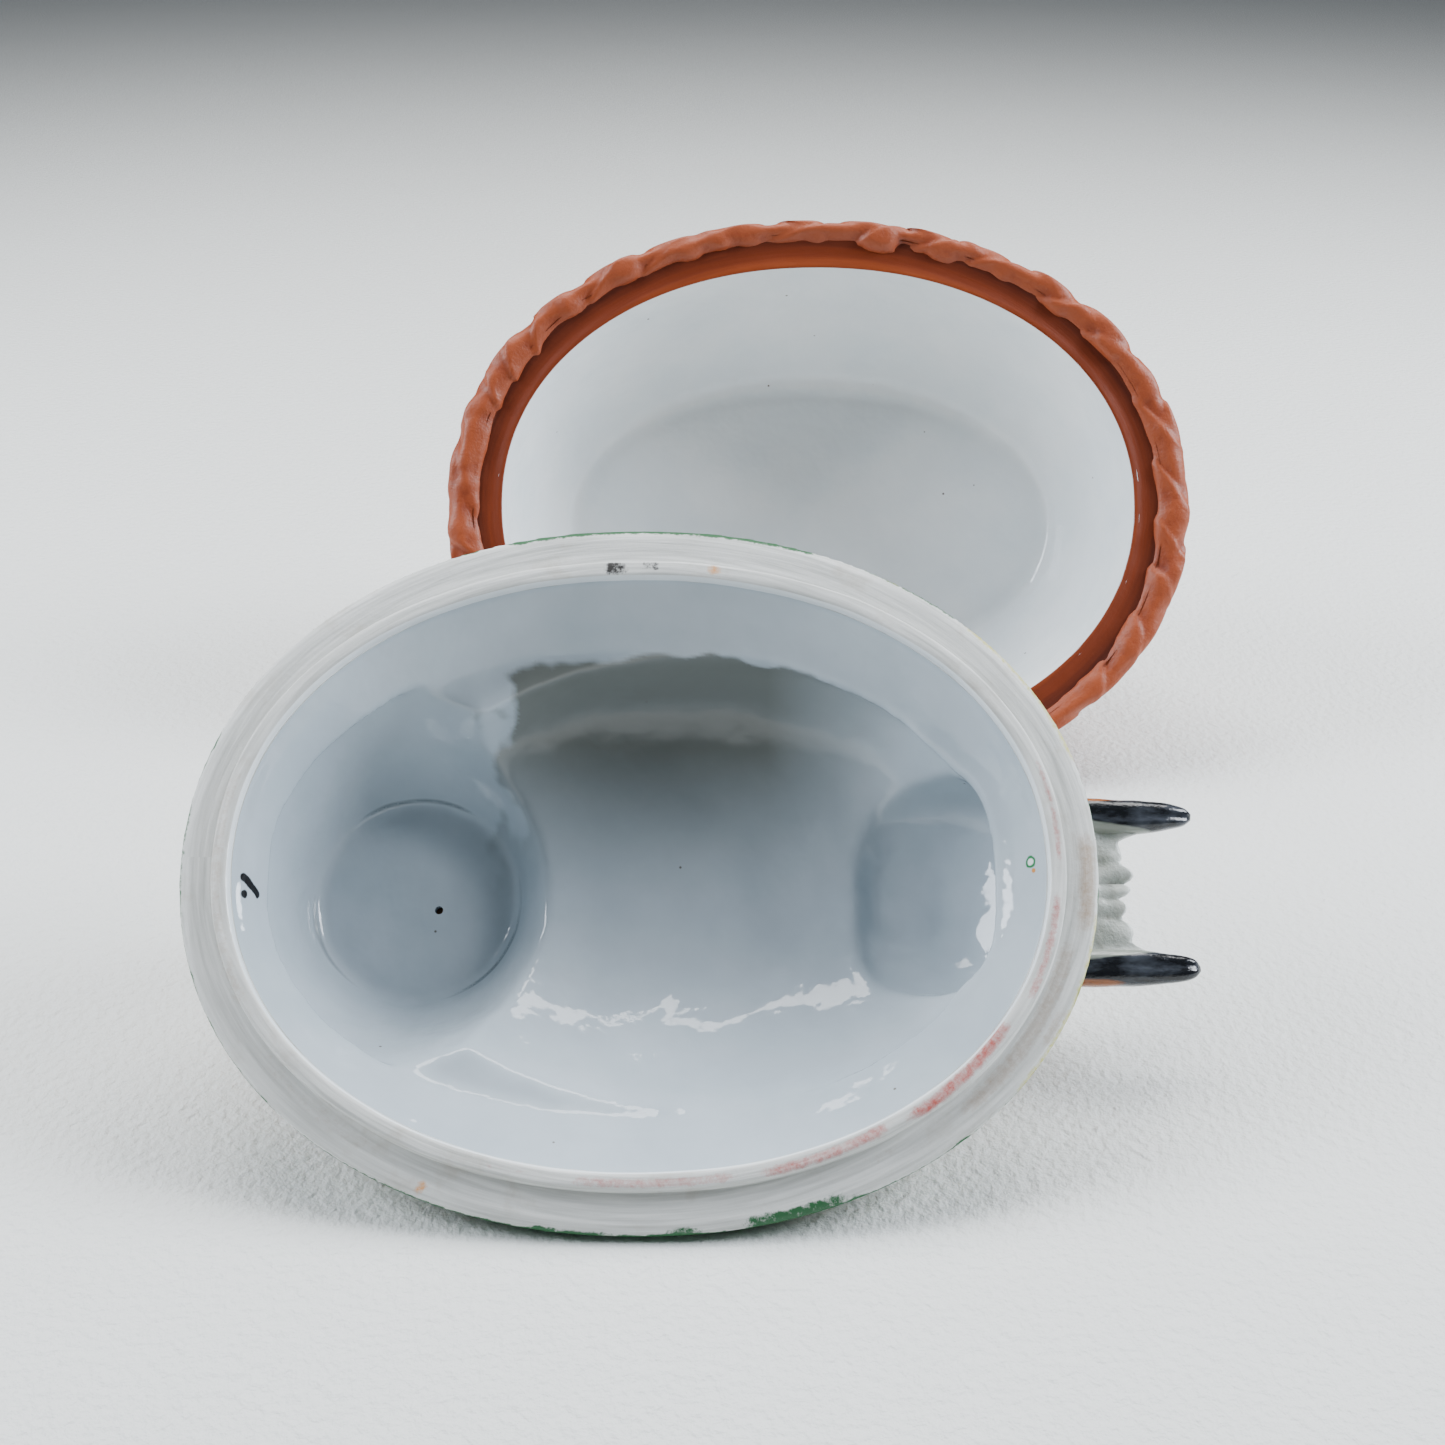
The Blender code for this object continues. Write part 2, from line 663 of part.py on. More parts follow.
def add_half(name):
    half = bpy.data.objects.new(name, None)
    bpy.context.collection.objects.link(half)
    return half


def main():
    clear_scene()
    bowl = add_half("bowl_frame")
    lid = add_half("lid_frame")

    white = paint("white_glaze", "DDE3E6", 0.12)
    seat = paint("bare_biscuit", "CFCBC2", 0.6)
    terracotta = paint("terracotta_paint", "A65A42", 0.55)
    dark = paint("dark_ledge_paint", "7A3018", 0.5)
    weave = paint("weave_paint", "9A4F38", 0.6)
    foot = paint("foot_biscuit", "D8D2C6", 0.7)
    leaves = paint("leaf_glaze", "2F6E3A", 0.3)
    plumage = paint("head_glaze", "7D6B5A", 0.3)
    horn = paint("beak_glaze", "C98A2E", 0.3)
    iris = paint("eye_glaze", "16130F", 0.15)
    feathers = paint("wing_glaze", "A8592A", 0.35)
    black = paint("black_glaze", "15161C", 0.2)
    grey = paint("tail_glaze", "8D9490", 0.4)

    make_bowl_body(bowl, white)
    make_rim_ledge(bowl, dark)
    make_rim_frill(bowl, terracotta)
    make_woven_jacket(bowl, weave)
    make_foot_ring(bowl, foot)

    make_lid_shell(lid, white)
    make_locating_flange(lid, seat)
    make_leaf_border(lid, leaves)
    make_head(lid, plumage)
    make_beak(lid, horn)
    make_eyes(lid, iris)
    clearances = make_clearances(lid, white)
    make_wings(lid, feathers, clearances)
    make_wing_tips(lid, black, clearances)
    make_tail(lid, grey, clearances)

    filled = lay_down(lid, radians(225), BRIM_HEIGHT, 0, 0)
    filled += lay_down(bowl, radians(62), -BOWL_HEIGHT / 2, BOWL_BESIDE, BOWL_BEHIND)
    centre_over_origin((bowl, lid), filled)


main()
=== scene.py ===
"""Oval tureen in white-glazed, hand-painted earthenware, lying open on a pale table.

The bowl is a nest with a pinched rim and lies on its side; the lid is a sitting bird with a ring
of leaves and lies on its back in front of it. Both halves are modelled in their own frames, as in
the CAD: z runs along the half's axis and z = 0 is its rim plane.
"""

from math import cos, pi, radians, sin

import bmesh
import bpy
import numpy as np
from mathutils import Matrix, Vector, noise


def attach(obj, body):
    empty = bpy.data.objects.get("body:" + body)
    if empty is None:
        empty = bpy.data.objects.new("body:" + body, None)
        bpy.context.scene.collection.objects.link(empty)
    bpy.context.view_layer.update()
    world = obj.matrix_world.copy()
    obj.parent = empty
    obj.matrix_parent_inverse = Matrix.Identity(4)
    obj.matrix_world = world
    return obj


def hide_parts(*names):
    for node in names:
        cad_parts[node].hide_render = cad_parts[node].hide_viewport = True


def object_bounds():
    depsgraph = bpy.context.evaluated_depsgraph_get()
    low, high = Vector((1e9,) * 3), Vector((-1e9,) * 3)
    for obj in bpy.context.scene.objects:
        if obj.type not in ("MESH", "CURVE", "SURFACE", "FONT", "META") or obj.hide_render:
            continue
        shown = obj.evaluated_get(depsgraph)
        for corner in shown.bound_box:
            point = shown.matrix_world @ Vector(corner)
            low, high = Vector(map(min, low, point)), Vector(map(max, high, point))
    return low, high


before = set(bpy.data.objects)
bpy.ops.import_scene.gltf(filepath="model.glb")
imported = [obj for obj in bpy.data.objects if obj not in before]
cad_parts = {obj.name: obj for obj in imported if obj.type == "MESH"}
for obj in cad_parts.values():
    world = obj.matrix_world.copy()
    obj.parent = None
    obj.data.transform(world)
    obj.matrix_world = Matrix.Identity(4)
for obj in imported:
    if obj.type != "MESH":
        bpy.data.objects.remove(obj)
CAD_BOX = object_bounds()

MM = 0.001
OVAL_POWER = 2.1


# Frames and sizes, read off the CAD nodes.

def node_points(node):
    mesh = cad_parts[node].data
    points = np.empty(len(mesh.vertices) * 3)
    mesh.vertices.foreach_get("co", points)
    return np.unique(np.round(points.reshape(-1, 3), 6), axis=0)


def half_frame(ring_node, edge, upward):
    """Frame of one half: square to a CAD ring whose highest or lowest edge lies at z = edge."""
    points = node_points(ring_node)
    middle = (points.min(0) + points.max(0)) / 2
    normal = np.linalg.svd(points - points.mean(0), full_matrices=False)[2][2]
    if (normal[2] > 0) != upward:
        normal = -normal
    reach = (points - middle) @ normal
    offset = (reach.max() if upward else reach.min()) - edge
    origin = middle + normal * offset
    z_axis = Vector(normal).normalized()
    x_axis = Vector((1, 0, 0))
    y_axis = z_axis.cross(x_axis).normalized()
    turn = Matrix((x_axis, y_axis, z_axis)).transposed().to_4x4()
    return Matrix.Translation(Vector(origin)) @ turn


FLANGE_HEIGHT = 4 * MM
LEDGE_DROP = 4 * MM
BOWL = half_frame("rim_ledge", -LEDGE_DROP, True)
LID = half_frame("locating_flange", -FLANGE_HEIGHT, False)


def local_box(node, half):
    """Lowest and highest corner of a CAD node in its half's frame."""
    turn = np.array(half.inverted())
    points = node_points(node) @ turn[:3, :3].T + turn[:3, 3]
    return points.min(0), points.max(0)


LID_EDGE = local_box("lid_shell", LID)[1][:2]
FLANGE = local_box("locating_flange", LID)[1][:2] - 1 * MM
FLANGE_THICKNESS = 5.5 * MM
FLANGE_INNER = FLANGE - FLANGE_THICKNESS
MOUTH = FLANGE + 1.5 * MM
LEDGE = local_box("rim_ledge", BOWL)[1][:2]
FRILL = local_box("rim_frill", BOWL)[1][:2]
FRILL_UNDER = local_box("rim_frill", BOWL)[0][2]
FOOT = local_box("foot_ring", BOWL)[1][:2]
BOWL_UNDER = local_box("foot_ring", BOWL)[0][2]
FOOT_HEIGHT = 5 * MM
BOWL_WALL = 5.5 * MM
FLOOR_TOP = BOWL_UNDER + FOOT_HEIGHT + BOWL_WALL
FLOOR = np.array([105.5, 60.0]) * MM
JACKET = local_box("woven_jacket", BOWL)
HEAD = local_box("bird_head", LID)
NECK_X = (HEAD[0][0] + HEAD[1][0]) / 2
NECK_FLOOR = 63 * MM
HEAD_RADIUS = 38 * MM
HEAD_CENTRE = 62 * MM
HEAD_LOW, HEAD_HIGH = 68.3 * MM, 100 * MM
WING_LOW, WING_HIGH = 27 * MM, 49 * MM


# Mesh helpers.

def oval(front, back, near, far, z, count=240, power=OVAL_POWER, centre=0.0):
    """Superellipse ring: it reaches front towards -X, back towards +X, near -Y and far +Y."""
    turn = 2 * pi * np.arange(count) / count
    along = np.sign(np.cos(turn)) * np.abs(np.cos(turn)) ** (2 / power)
    across = np.sign(np.sin(turn)) * np.abs(np.sin(turn)) ** (2 / power)
    x = centre + np.where(along >= 0, along * back, along * front)
    y = np.where(across >= 0, across * far, across * near)
    return np.column_stack((x, y, np.full(count, z)))


def even_oval(half_sizes, grow, z, count=240):
    a, b = half_sizes[0] + grow, half_sizes[1] + grow
    return oval(a, a, b, b, z, count)


def ovals(*rows):
    """Even ovals, each from its half sizes and its growth and height in millimetres."""
    return [even_oval(half, grow * MM, z * MM) for half, grow, z in rows]


def oval_reach(points, half_sizes):
    """How far out points lie on an oval: 0 in its middle and 1 on it."""
    share = np.abs(points[:, :2] / half_sizes)
    return (share ** OVAL_POWER).sum(1) ** (1 / OVAL_POWER)


def between(rings, steps):
    """Fill in steps rings between each two, on a smooth curve through all of them."""
    keys = np.array(rings)
    ahead = np.concatenate((keys[1:], 2 * keys[-1:] - keys[-2:-1]))
    behind = np.concatenate((2 * keys[:1] - keys[1:2], keys[:-1]))
    slopes = (ahead - behind) / 2
    filled = []
    for k in range(len(keys) - 1):
        for t in np.arange(steps) / steps:
            start = (2 * t ** 3 - 3 * t ** 2 + 1) * keys[k] + (t ** 3 - 2 * t ** 2 + t) * slopes[k]
            end = (3 * t ** 2 - 2 * t ** 3) * keys[k + 1] + (t ** 3 - t ** 2) * slopes[k + 1]
            filled.append(start + end)
    filled.append(keys[-1])
    return filled


def loft(name, rings, looped=False):
    """Mesh object through equal rings, closed at its ends or from last to first."""
    count = len(rings[0])
    points = np.concatenate(rings)
    rows = len(rings)
    faces = []
    for row in range(rows if looped else rows - 1):
        low = row * count
        high = ((row + 1) % rows) * count
        for k in range(count):
            after = (k + 1) % count
            faces.append((low + k, low + after, high + after, high + k))
    if not looped:
        faces.append(tuple(range(count)))
        faces.append(tuple(range((rows - 1) * count, rows * count)))
    return mesh_object(name, points, faces)


def mesh_object(name, points, faces):
    mesh = bpy.data.meshes.new(name)
    mesh.from_pydata([tuple(p) for p in points], [], faces)
    bm = bmesh.new()
    bm.from_mesh(mesh)
    bmesh.ops.recalc_face_normals(bm, faces=bm.faces)
    bm.to_mesh(mesh)
    bm.free()
    piece = bpy.data.objects.new(name, mesh)
    bpy.context.collection.objects.link(piece)
    return piece


def coords(piece):
    points = np.empty(len(piece.data.vertices) * 3)
    piece.data.vertices.foreach_get("co", points)
    return points.reshape(-1, 3)


def set_coords(piece, points):
    piece.data.vertices.foreach_set("co", points.ravel())
    piece.data.update()


def normals(piece):
    values = np.empty(len(piece.data.vertices) * 3)
    piece.data.vertices.foreach_get("normal", values)
    return values.reshape(-1, 3)


def store(piece, name, values):
    layer = piece.data.attributes.new(name, "FLOAT", "POINT")
    layer.data.foreach_set("value", np.asarray(values, dtype=np.float32))


def wobble(points, size, seed):
    """Smooth handmade unevenness of about one unit, with bumps about size apart."""
    shift = Vector((seed * 7.3, seed * 3.1, seed * 5.7))
    return np.array([noise.noise(Vector(p) / size + shift) for p in points])


def apply_modifiers(piece):
    graph = bpy.context.evaluated_depsgraph_get()
    mesh = bpy.data.meshes.new_from_object(piece.evaluated_get(graph))
    piece.modifiers.clear()
    piece.data = mesh


def melt(piece, voxel, passes):
    """Join overlapping bodies into one skin with the soft edges that slip and glaze leave."""
    remesh = piece.modifiers.new("melt", "REMESH")
    remesh.mode = "VOXEL"
    remesh.voxel_size = voxel
    smooth = piece.modifiers.new("soften", "SMOOTH")
    smooth.factor = 0.5
    smooth.iterations = passes
    apply_modifiers(piece)


def join(name, pieces):
    bm = bmesh.new()
    for piece in pieces:
        bm.from_mesh(piece.data)
        bpy.data.objects.remove(piece)
    mesh = bpy.data.meshes.new(name)
    bm.to_mesh(mesh)
    bm.free()
    joined = bpy.data.objects.new(name, mesh)
    bpy.context.collection.objects.link(joined)
    return joined


def smooth_shade(piece, sharp=None):
    piece.data.shade_smooth()
    if sharp:
        piece.data.set_sharp_from_angle(angle=radians(sharp))


def settle(piece, half, body, slot_name, material, *nodes):
    """Move a finished piece into place, paint it and hang it on its body."""
    piece.data.transform(half)
    set_coords(piece, np.clip(coords(piece), CAD_BOX[0], CAD_BOX[1]))
    if material:
        piece.data.materials.clear()
        piece.data.materials.append(material)
    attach(piece, body)
    if nodes:
        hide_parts(*nodes)


# Materials.

STROKE_LENGTH, STROKE_WIDTH = 30 * MM, 1.6 * MM
PINHOLE_SPACING = 11 * MM
GLAZE_ROUGHNESS = 0.07
HAND_SHAKE = 1.2 * MM
STROKE_BLEED = 0.35


def srgb(text):
    channels = [int(text[k:k + 2], 16) / 255 for k in (0, 2, 4)]
    linear = [c / 12.92 if c <= 0.04045 else ((c + 0.055) / 1.055) ** 2.4 for c in channels]
    return (*linear, 1.0)


def feed(tree, node, inputs):
    """Link or set a node's inputs, given by name or in order."""
    for key, value in inputs.items() if isinstance(inputs, dict) else enumerate(inputs):
        if isinstance(value, bpy.types.NodeSocket):
            tree.links.new(value, node.inputs[key])
        elif value is not None:
            node.inputs[key].default_value = value


def add(tree, kind, inputs=(), out=0, **settings):
    """Add one node with its settings and inputs, and give back one of its outputs."""
    made = tree.nodes.new(kind)
    for key, value in settings.items():
        setattr(made, key, value)
    feed(tree, made, inputs)
    return made.outputs[out]


def new_material(name):
    material = bpy.data.materials.new(name)
    material.use_nodes = True
    return material, material.node_tree


def patches(tree, size, detail=4.0, roughness=0.55, stretch=(1, 1, 1)):
    """Handmade unevenness in object space, its blotches about size millimetres apart."""
    place = add(tree, "ShaderNodeTexCoord", out="Object")
    scale = Vector(stretch) / (size * MM)
    place = add(tree, "ShaderNodeMapping", {"Vector": place, "Scale": scale})
    return add(tree, "ShaderNodeTexNoise", {
        "Vector": place, "Scale": 1.0, "Detail": detail, "Roughness": roughness})


def brush_strokes(tree, scale, detail):
    """Strokes of a brush held to a turning ring, in the ring's own UV metres."""
    uv = add(tree, "ShaderNodeUVMap", uv_map="ring")
    size = Vector((scale / STROKE_LENGTH, scale / STROKE_WIDTH, scale))
    place = add(tree, "ShaderNodeMapping", {"Vector": uv, "Scale": size})
    return add(tree, "ShaderNodeTexNoise", {"Vector": place, "Scale": 1.0, "Detail": detail})


def stored(tree, name, pattern=None, share=0.0):
    """A value kept on the mesh, its edges broken up by a share of a pattern."""
    value = add(tree, "ShaderNodeAttribute", out="Fac", attribute_name=name)
    if pattern is None:
        return value
    return add(tree, "ShaderNodeMath", (pattern, share, value), operation="MULTIPLY_ADD")


def coat(tree, base, colour, where, low=0.0, high=1.0, most=1.0):
    """Lay a colour over base, from none where the value is low to most where it is high."""
    share = add(tree, "ShaderNodeMapRange", (where, low, high, 0.0, most))
    return add(tree, "ShaderNodeMix", {0: share, 6: base, 7: srgb(colour)}, 2, data_type="RGBA")


def finish(material, colour, roughness, bumps=(), **more):
    """Join colour, roughness and bumps, each a height and its depth in millimetres."""
    tree = material.node_tree
    normal = None
    for height, depth in bumps:
        normal = add(tree, "ShaderNodeBump", {
            "Height": height, "Distance": depth * MM, "Strength": 1.0, "Normal": normal})
    more = {key.replace("_", " "): value for key, value in more.items()}
    feed(tree, tree.nodes["Principled BSDF"], {
        "Base Color": colour, "Roughness": roughness, "Normal": normal, **more})
    return material


def white_glaze(name, thin, thick):
    """Clear glossy glaze on white slip: cool white, pinholes, and a surface that ran in firing."""
    material, tree = new_material(name)
    tint = coat(tree, srgb(thin), thick, patches(tree, 45), 0.35, 0.65)
    place = add(tree, "ShaderNodeTexCoord", out="Object")
    cells = add(tree, "ShaderNodeTexVoronoi", {
        "Vector": place, "Scale": 1 / PINHOLE_SPACING}).node
    hole = add(tree, "ShaderNodeMapRange", (cells.outputs["Distance"], 0.055, 0.03))
    chosen = add(tree, "ShaderNodeMapRange", (cells.outputs["Color"], 0.30, 0.28))
    speck = add(tree, "ShaderNodeMath", (hole, chosen), operation="MULTIPLY")
    ran, ripple = patches(tree, 30, 1.0, 0.4), patches(tree, 9, 2.0, 0.5)
    return finish(material, coat(tree, tint, "6E6A62", speck), GLAZE_ROUGHNESS,
                  ((ran, 1.2), (ripple, 0.38)), IOR=1.52)


def bare_biscuit():
    """Fired clay wiped clean of glaze: chalky grey-white, brushed along the ring, rubbed brown."""
    material, tree = new_material("wiped_biscuit_earthenware")
    brushed = brush_strokes(tree, 1.0, 5.0)
    base = coat(tree, srgb("B4B6B2"), "E3E4E1", brushed, 0.25, 0.75)
    base = coat(tree, base, "A79D8C", patches(tree, 16, 6.0, 0.65), 0.55, 0.78, 0.55)
    speckle = patches(tree, 2.2, 6.0, 0.8)
    for name, colour, low, high in (
        ("brown_rub", "A08468", 0.99, 1.71), ("green_edge", "1B5A2F", 1.116, 1.296),
        ("yellow_edge", "BDB85C", 1.116, 1.44), ("red_rub", "B4544C", 1.116, 1.548),
        ("black_smear", "2A2826", 1.26, 1.44), ("orange_dab", "D79A5E", 1.08, 1.44),
    ):
        base = coat(tree, base, colour, stored(tree, name, speckle, 1.0), low, high)
    grain = patches(tree, 1.6, 3.0, 0.6)
    return finish(material, base, 0.62, ((brushed, 0.25), (grain, 0.08)))


def painted(name, dark, middle, light, roughness, grain_depth):
    """Brushed colour over relief: painted shade in the hollows and a painted highlight on the
    crests, with the paint also thinner on the crests and thicker in the hollows.
    """
    material, tree = new_material(name)
    brush = patches(tree, 4.5, 5.0, 0.6)
    worn = stored(tree, "crest", brush, 0.6)
    worn = add(tree, "ShaderNodeMath", (patches(tree, 18), 0.5, worn), operation="MULTIPLY_ADD")
    # Painted shade and highlight: the crest value, carried by worn, lays the dark tone in the
    # hollows and the light tone on the crests.
    base = coat(tree, srgb(dark), middle, worn, 0.46, 0.90)
    base = coat(tree, base, light, worn, 0.98, 1.40)
    fine = patches(tree, 1.1, 2.0)
    return finish(material, base, roughness, ((brush, grain_depth), (fine, grain_depth / 3)))


# The bowl.

def wall_ring(level, grow, top):
    """Ring of the bowl's wall; level runs 0 at the floor's edge to 1 at the mouth."""
    spread = 0.45 * level + 0.55 * (1 - (1 - level) ** 2) ** 0.5
    half = FLOOR + (MOUTH - FLOOR) * spread
    return even_oval(half, grow, FLOOR_TOP + (top - FLOOR_TOP) * level)


def ring_uv(piece, half_sizes):
    """UV map in metres: u runs round the oval and v across the ring and up its sides."""
    points = coords(piece)
    middle = (half_sizes[0] + half_sizes[1]) / 2
    turn = np.arctan2(points[:, 1] / half_sizes[1], points[:, 0] / half_sizes[0])
    reach = np.hypot(points[:, 0] / half_sizes[0], points[:, 1] / half_sizes[1]) * middle
    along = turn * middle
    across = reach + points[:, 2]
    layer = piece.data.uv_layers.new(name="ring")
    for polygon in piece.data.polygons:
        corners = [piece.data.loops[k].vertex_index for k in polygon.loop_indices]
        wraps = max(along[v] for v in corners) - min(along[v] for v in corners) > middle
        for k, v in zip(polygon.loop_indices, corners):
            u = along[v] + (2 * pi * middle if wraps and along[v] < 0 else 0.0)
            layer.data[k].uv = (u, across[v])


def make_bowl_body(material):
    top = -LEDGE_DROP - 0.2 * MM
    levels = (0.0, 0.04, 0.1, 0.2, 0.34, 0.5, 0.68, 0.85, 0.96, 1.0)
    floor_rise = 1.2 * MM
    inner = [even_oval(FLOOR * share, 0, FLOOR_TOP + floor_rise * (1 - share))
             for share in (0.02, 0.5, 0.88)]
    inner += [wall_ring(level, 0, top) for level in levels]
    outer = [even_oval(MOUTH, BOWL_WALL - 1 * MM, -9 * MM), wall_ring(0.5, 4 * MM, top),
             wall_ring(0.1, 4 * MM, top), even_oval(FLOOR, 4 * MM, BOWL_UNDER + FOOT_HEIGHT),
             even_oval(FLOOR * 0.05, 0, BOWL_UNDER + FOOT_HEIGHT)]
    rings = between(inner, 6) + [even_oval(MOUTH, 2 * MM, top)] + outer
    piece = loft("glazed_bowl", rings)
    points = coords(piece)
    depth = np.clip((top - points[:, 2]) / (20 * MM), 0, 1)
    points[:, 2] += wobble(points, 40 * MM, 1) * 0.5 * MM * depth
    set_coords(piece, points)
    smooth_shade(piece, 50)
    settle(piece, BOWL, "bowl", "white_glaze", material, "bowl_body")


def ledge_paint():
    """Iron-brown slip brushed round the ledge: darker towards the frill and more orange towards the
    mouth.
    """
    material, tree = new_material("brushed_iron_brown_slip")
    strokes = brush_strokes(tree, 0.7, 6.0)
    thin = stored(tree, "thin", strokes, 0.55)
    base = coat(tree, srgb("431303"), "702A0A", thin, 0.15, 0.75)
    base = coat(tree, base, "903E12", thin, 0.95, 1.45)
    bumps = ((strokes, 0.3), (patches(tree, 2), 0.1))
    return finish(material, base, 0.55, bumps, Specular_IOR_Level=0.3)


def make_rim_ledge(material):
    """The sunk shelf that the lid sits on, dished a little towards the frill."""
    rows = [(MOUTH, 0, -9), (MOUTH, -0.1, -5.2), (MOUTH, 0.5, -3.9),
            (MOUTH * 0.55 + LEDGE * 0.45, 0, -4.5), (LEDGE, 0.8, -3.8), (LEDGE, 1.5, -2.5)]
    rings = between(ovals(*rows), 5) + ovals((LEDGE, 1.5, -9))
    piece = loft("painted_ledge", rings, looped=True)
    points = coords(piece)
    points[:, 2] += wobble(points, 9 * MM, 2) * 0.25 * MM
    set_coords(piece, points)
    reach = np.hypot(points[:, 0] / LEDGE[0], points[:, 1] / LEDGE[1])
    inner = np.hypot(*(MOUTH / LEDGE * np.array([0.7071, 0.7071])))
    # thin runs from 0 by the frill to 1 at the mouth; the paint is darker towards the frill.
    store(piece, "thin", np.clip((1.0 - reach) / (1.0 - inner), 0, 1))
    ring_uv(piece, LEDGE)
    smooth_shade(piece, 60)
    settle(piece, BOWL, "bowl", "ledge_paint", material, "rim_ledge")


def lobe_mesh():
    """One pinched lobe of clay, its long way along X, thick at one end and thin at the other."""
    stations = []
    for share in (0.02, 0.15, 0.35, 0.6, 0.82, 0.97):
        bulge = (share * (1 - share) * 4) ** 0.5
        wide = 5.4 * MM * bulge * (1.25 - 0.5 * share)
        thick = 4.2 * MM * bulge * (1.15 - 0.3 * share)
        ring = circle_ring(12, wide, thick)
        stations.append(np.column_stack((np.full(12, (share - 0.5) * 22 * MM), ring)))
    return loft("pinched_lobe", stations)


def circle_ring(count, wide, high):
    turn = 2 * pi * np.arange(count) / count
    return np.column_stack((np.cos(turn) * wide, np.sin(turn) * high))


def oval_path(name, half_sizes, grow, z, count=160):
    """Closed poly curve round the rim, the path that the repeated pieces follow."""
    data = bpy.data.curves.new(name, "CURVE")
    data.dimensions = "3D"
    spline = data.splines.new("POLY")
    spline.points.add(count - 1)
    for point, place in zip(spline.points, even_oval(half_sizes, grow, z, count)):
        point.co = (*place, 1.0)
    spline.use_cyclic_u = True
    path = bpy.data.objects.new(name, data)
    bpy.context.collection.objects.link(path)
    return path


def repeat_tree(name, unit, material):
    """Geometry Nodes: copies of one unit along a path, each turned, tilted and sized by chance."""
    tree = bpy.data.node_groups.new(name, "GeometryNodeTree")
    face = tree.interface
    face.new_socket("Path", in_out="INPUT", socket_type="NodeSocketGeometry")
    for label in ("Count", "Seed"):
        face.new_socket(label, in_out="INPUT", socket_type="NodeSocketInt")
    for label in ("Slant", "Slant spread", "Lean", "Tilt", "Tilt spread", "Smallest", "Largest",
                  "Sway"):
        face.new_socket(label, in_out="INPUT", socket_type="NodeSocketFloat")
    face.new_socket("Geometry", in_out="OUTPUT", socket_type="NodeSocketGeometry")
    given = tree.nodes.new("NodeGroupInput").outputs

    def chance(low, high, salt):
        seed = add(tree, "ShaderNodeMath", (given["Seed"], salt), operation="ADD")
        return add(tree, "FunctionNodeRandomValue", {2: low, 3: high, "Seed": seed}, 1,
                   data_type="FLOAT")

    def spread(middle, width, salt):
        ends = [add(tree, "ShaderNodeMath", (middle, given[width]), operation=way)
                for way in ("SUBTRACT", "ADD")]
        return chance(*ends, salt)

    points = add(tree, "GeometryNodeCurveToPoints", {
        "Curve": given["Path"], "Count": given["Count"]}, mode="COUNT").node.outputs
    turned = add(tree, "FunctionNodeAlignRotationToVector", {"Vector": points["Tangent"]},
                 axis="X")
    upright = add(tree, "FunctionNodeAlignRotationToVector", {
        "Rotation": turned, "Vector": (0, 0, 1)}, axis="Z", pivot_axis="X")
    own = add(tree, "ShaderNodeCombineXYZ", (
        spread(given["Lean"], "Tilt spread", 3), spread(given["Tilt"], "Tilt spread", 1),
        spread(given["Slant"], "Slant spread", 2)))
    twist = add(tree, "FunctionNodeEulerToRotation", {"Euler": own})
    both = add(tree, "FunctionNodeRotateRotation", {"Rotation": upright, "Rotate By": twist},
               rotation_space="LOCAL")
    moved = add(tree, "ShaderNodeCombineXYZ", [spread(0.0, "Sway", salt) for salt in (5, 6, 7)])
    swayed = add(tree, "GeometryNodeSetPosition", {
        "Geometry": points["Points"], "Offset": moved})
    source = add(tree, "GeometryNodeObjectInfo", {"Object": unit}, "Geometry",
                 transform_space="ORIGINAL")
    copies = add(tree, "GeometryNodeInstanceOnPoints", {
        "Points": swayed, "Instance": source, "Rotation": both,
        "Scale": chance(given["Smallest"], given["Largest"], 8)})
    real = add(tree, "GeometryNodeRealizeInstances", {"Geometry": copies})
    dressed = add(tree, "GeometryNodeSetMaterial", {"Geometry": real, "Material": material})
    feed(tree, tree.nodes.new("NodeGroupOutput"), {"Geometry": dressed})
    return tree


def bake_repeat(name, path, tree, sizes):
    """Run the tree on a path with its named sizes and keep the result as a plain mesh object."""
    modifier = path.modifiers.new("repeat", "NODES")
    modifier.node_group = tree
    for item in tree.interface.items_tree:
        if item.item_type == "SOCKET" and item.in_out == "INPUT" and item.name in sizes:
            modifier[item.identifier] = sizes[item.name]
    path.update_tag()
    bpy.context.view_layer.update()
    graph = bpy.context.evaluated_depsgraph_get()
    mesh = bpy.data.meshes.new_from_object(path.evaluated_get(graph))
    bpy.data.objects.remove(path)
    piece = bpy.data.objects.new(name, mesh)
    bpy.context.collection.objects.link(piece)
    return piece


def soft_limit(value, start, limit):
    """Values past start are pressed together so that none passes the limit."""
    room = limit - start
    return np.where(value > start, start + room * np.tanh((value - start) / room), value)


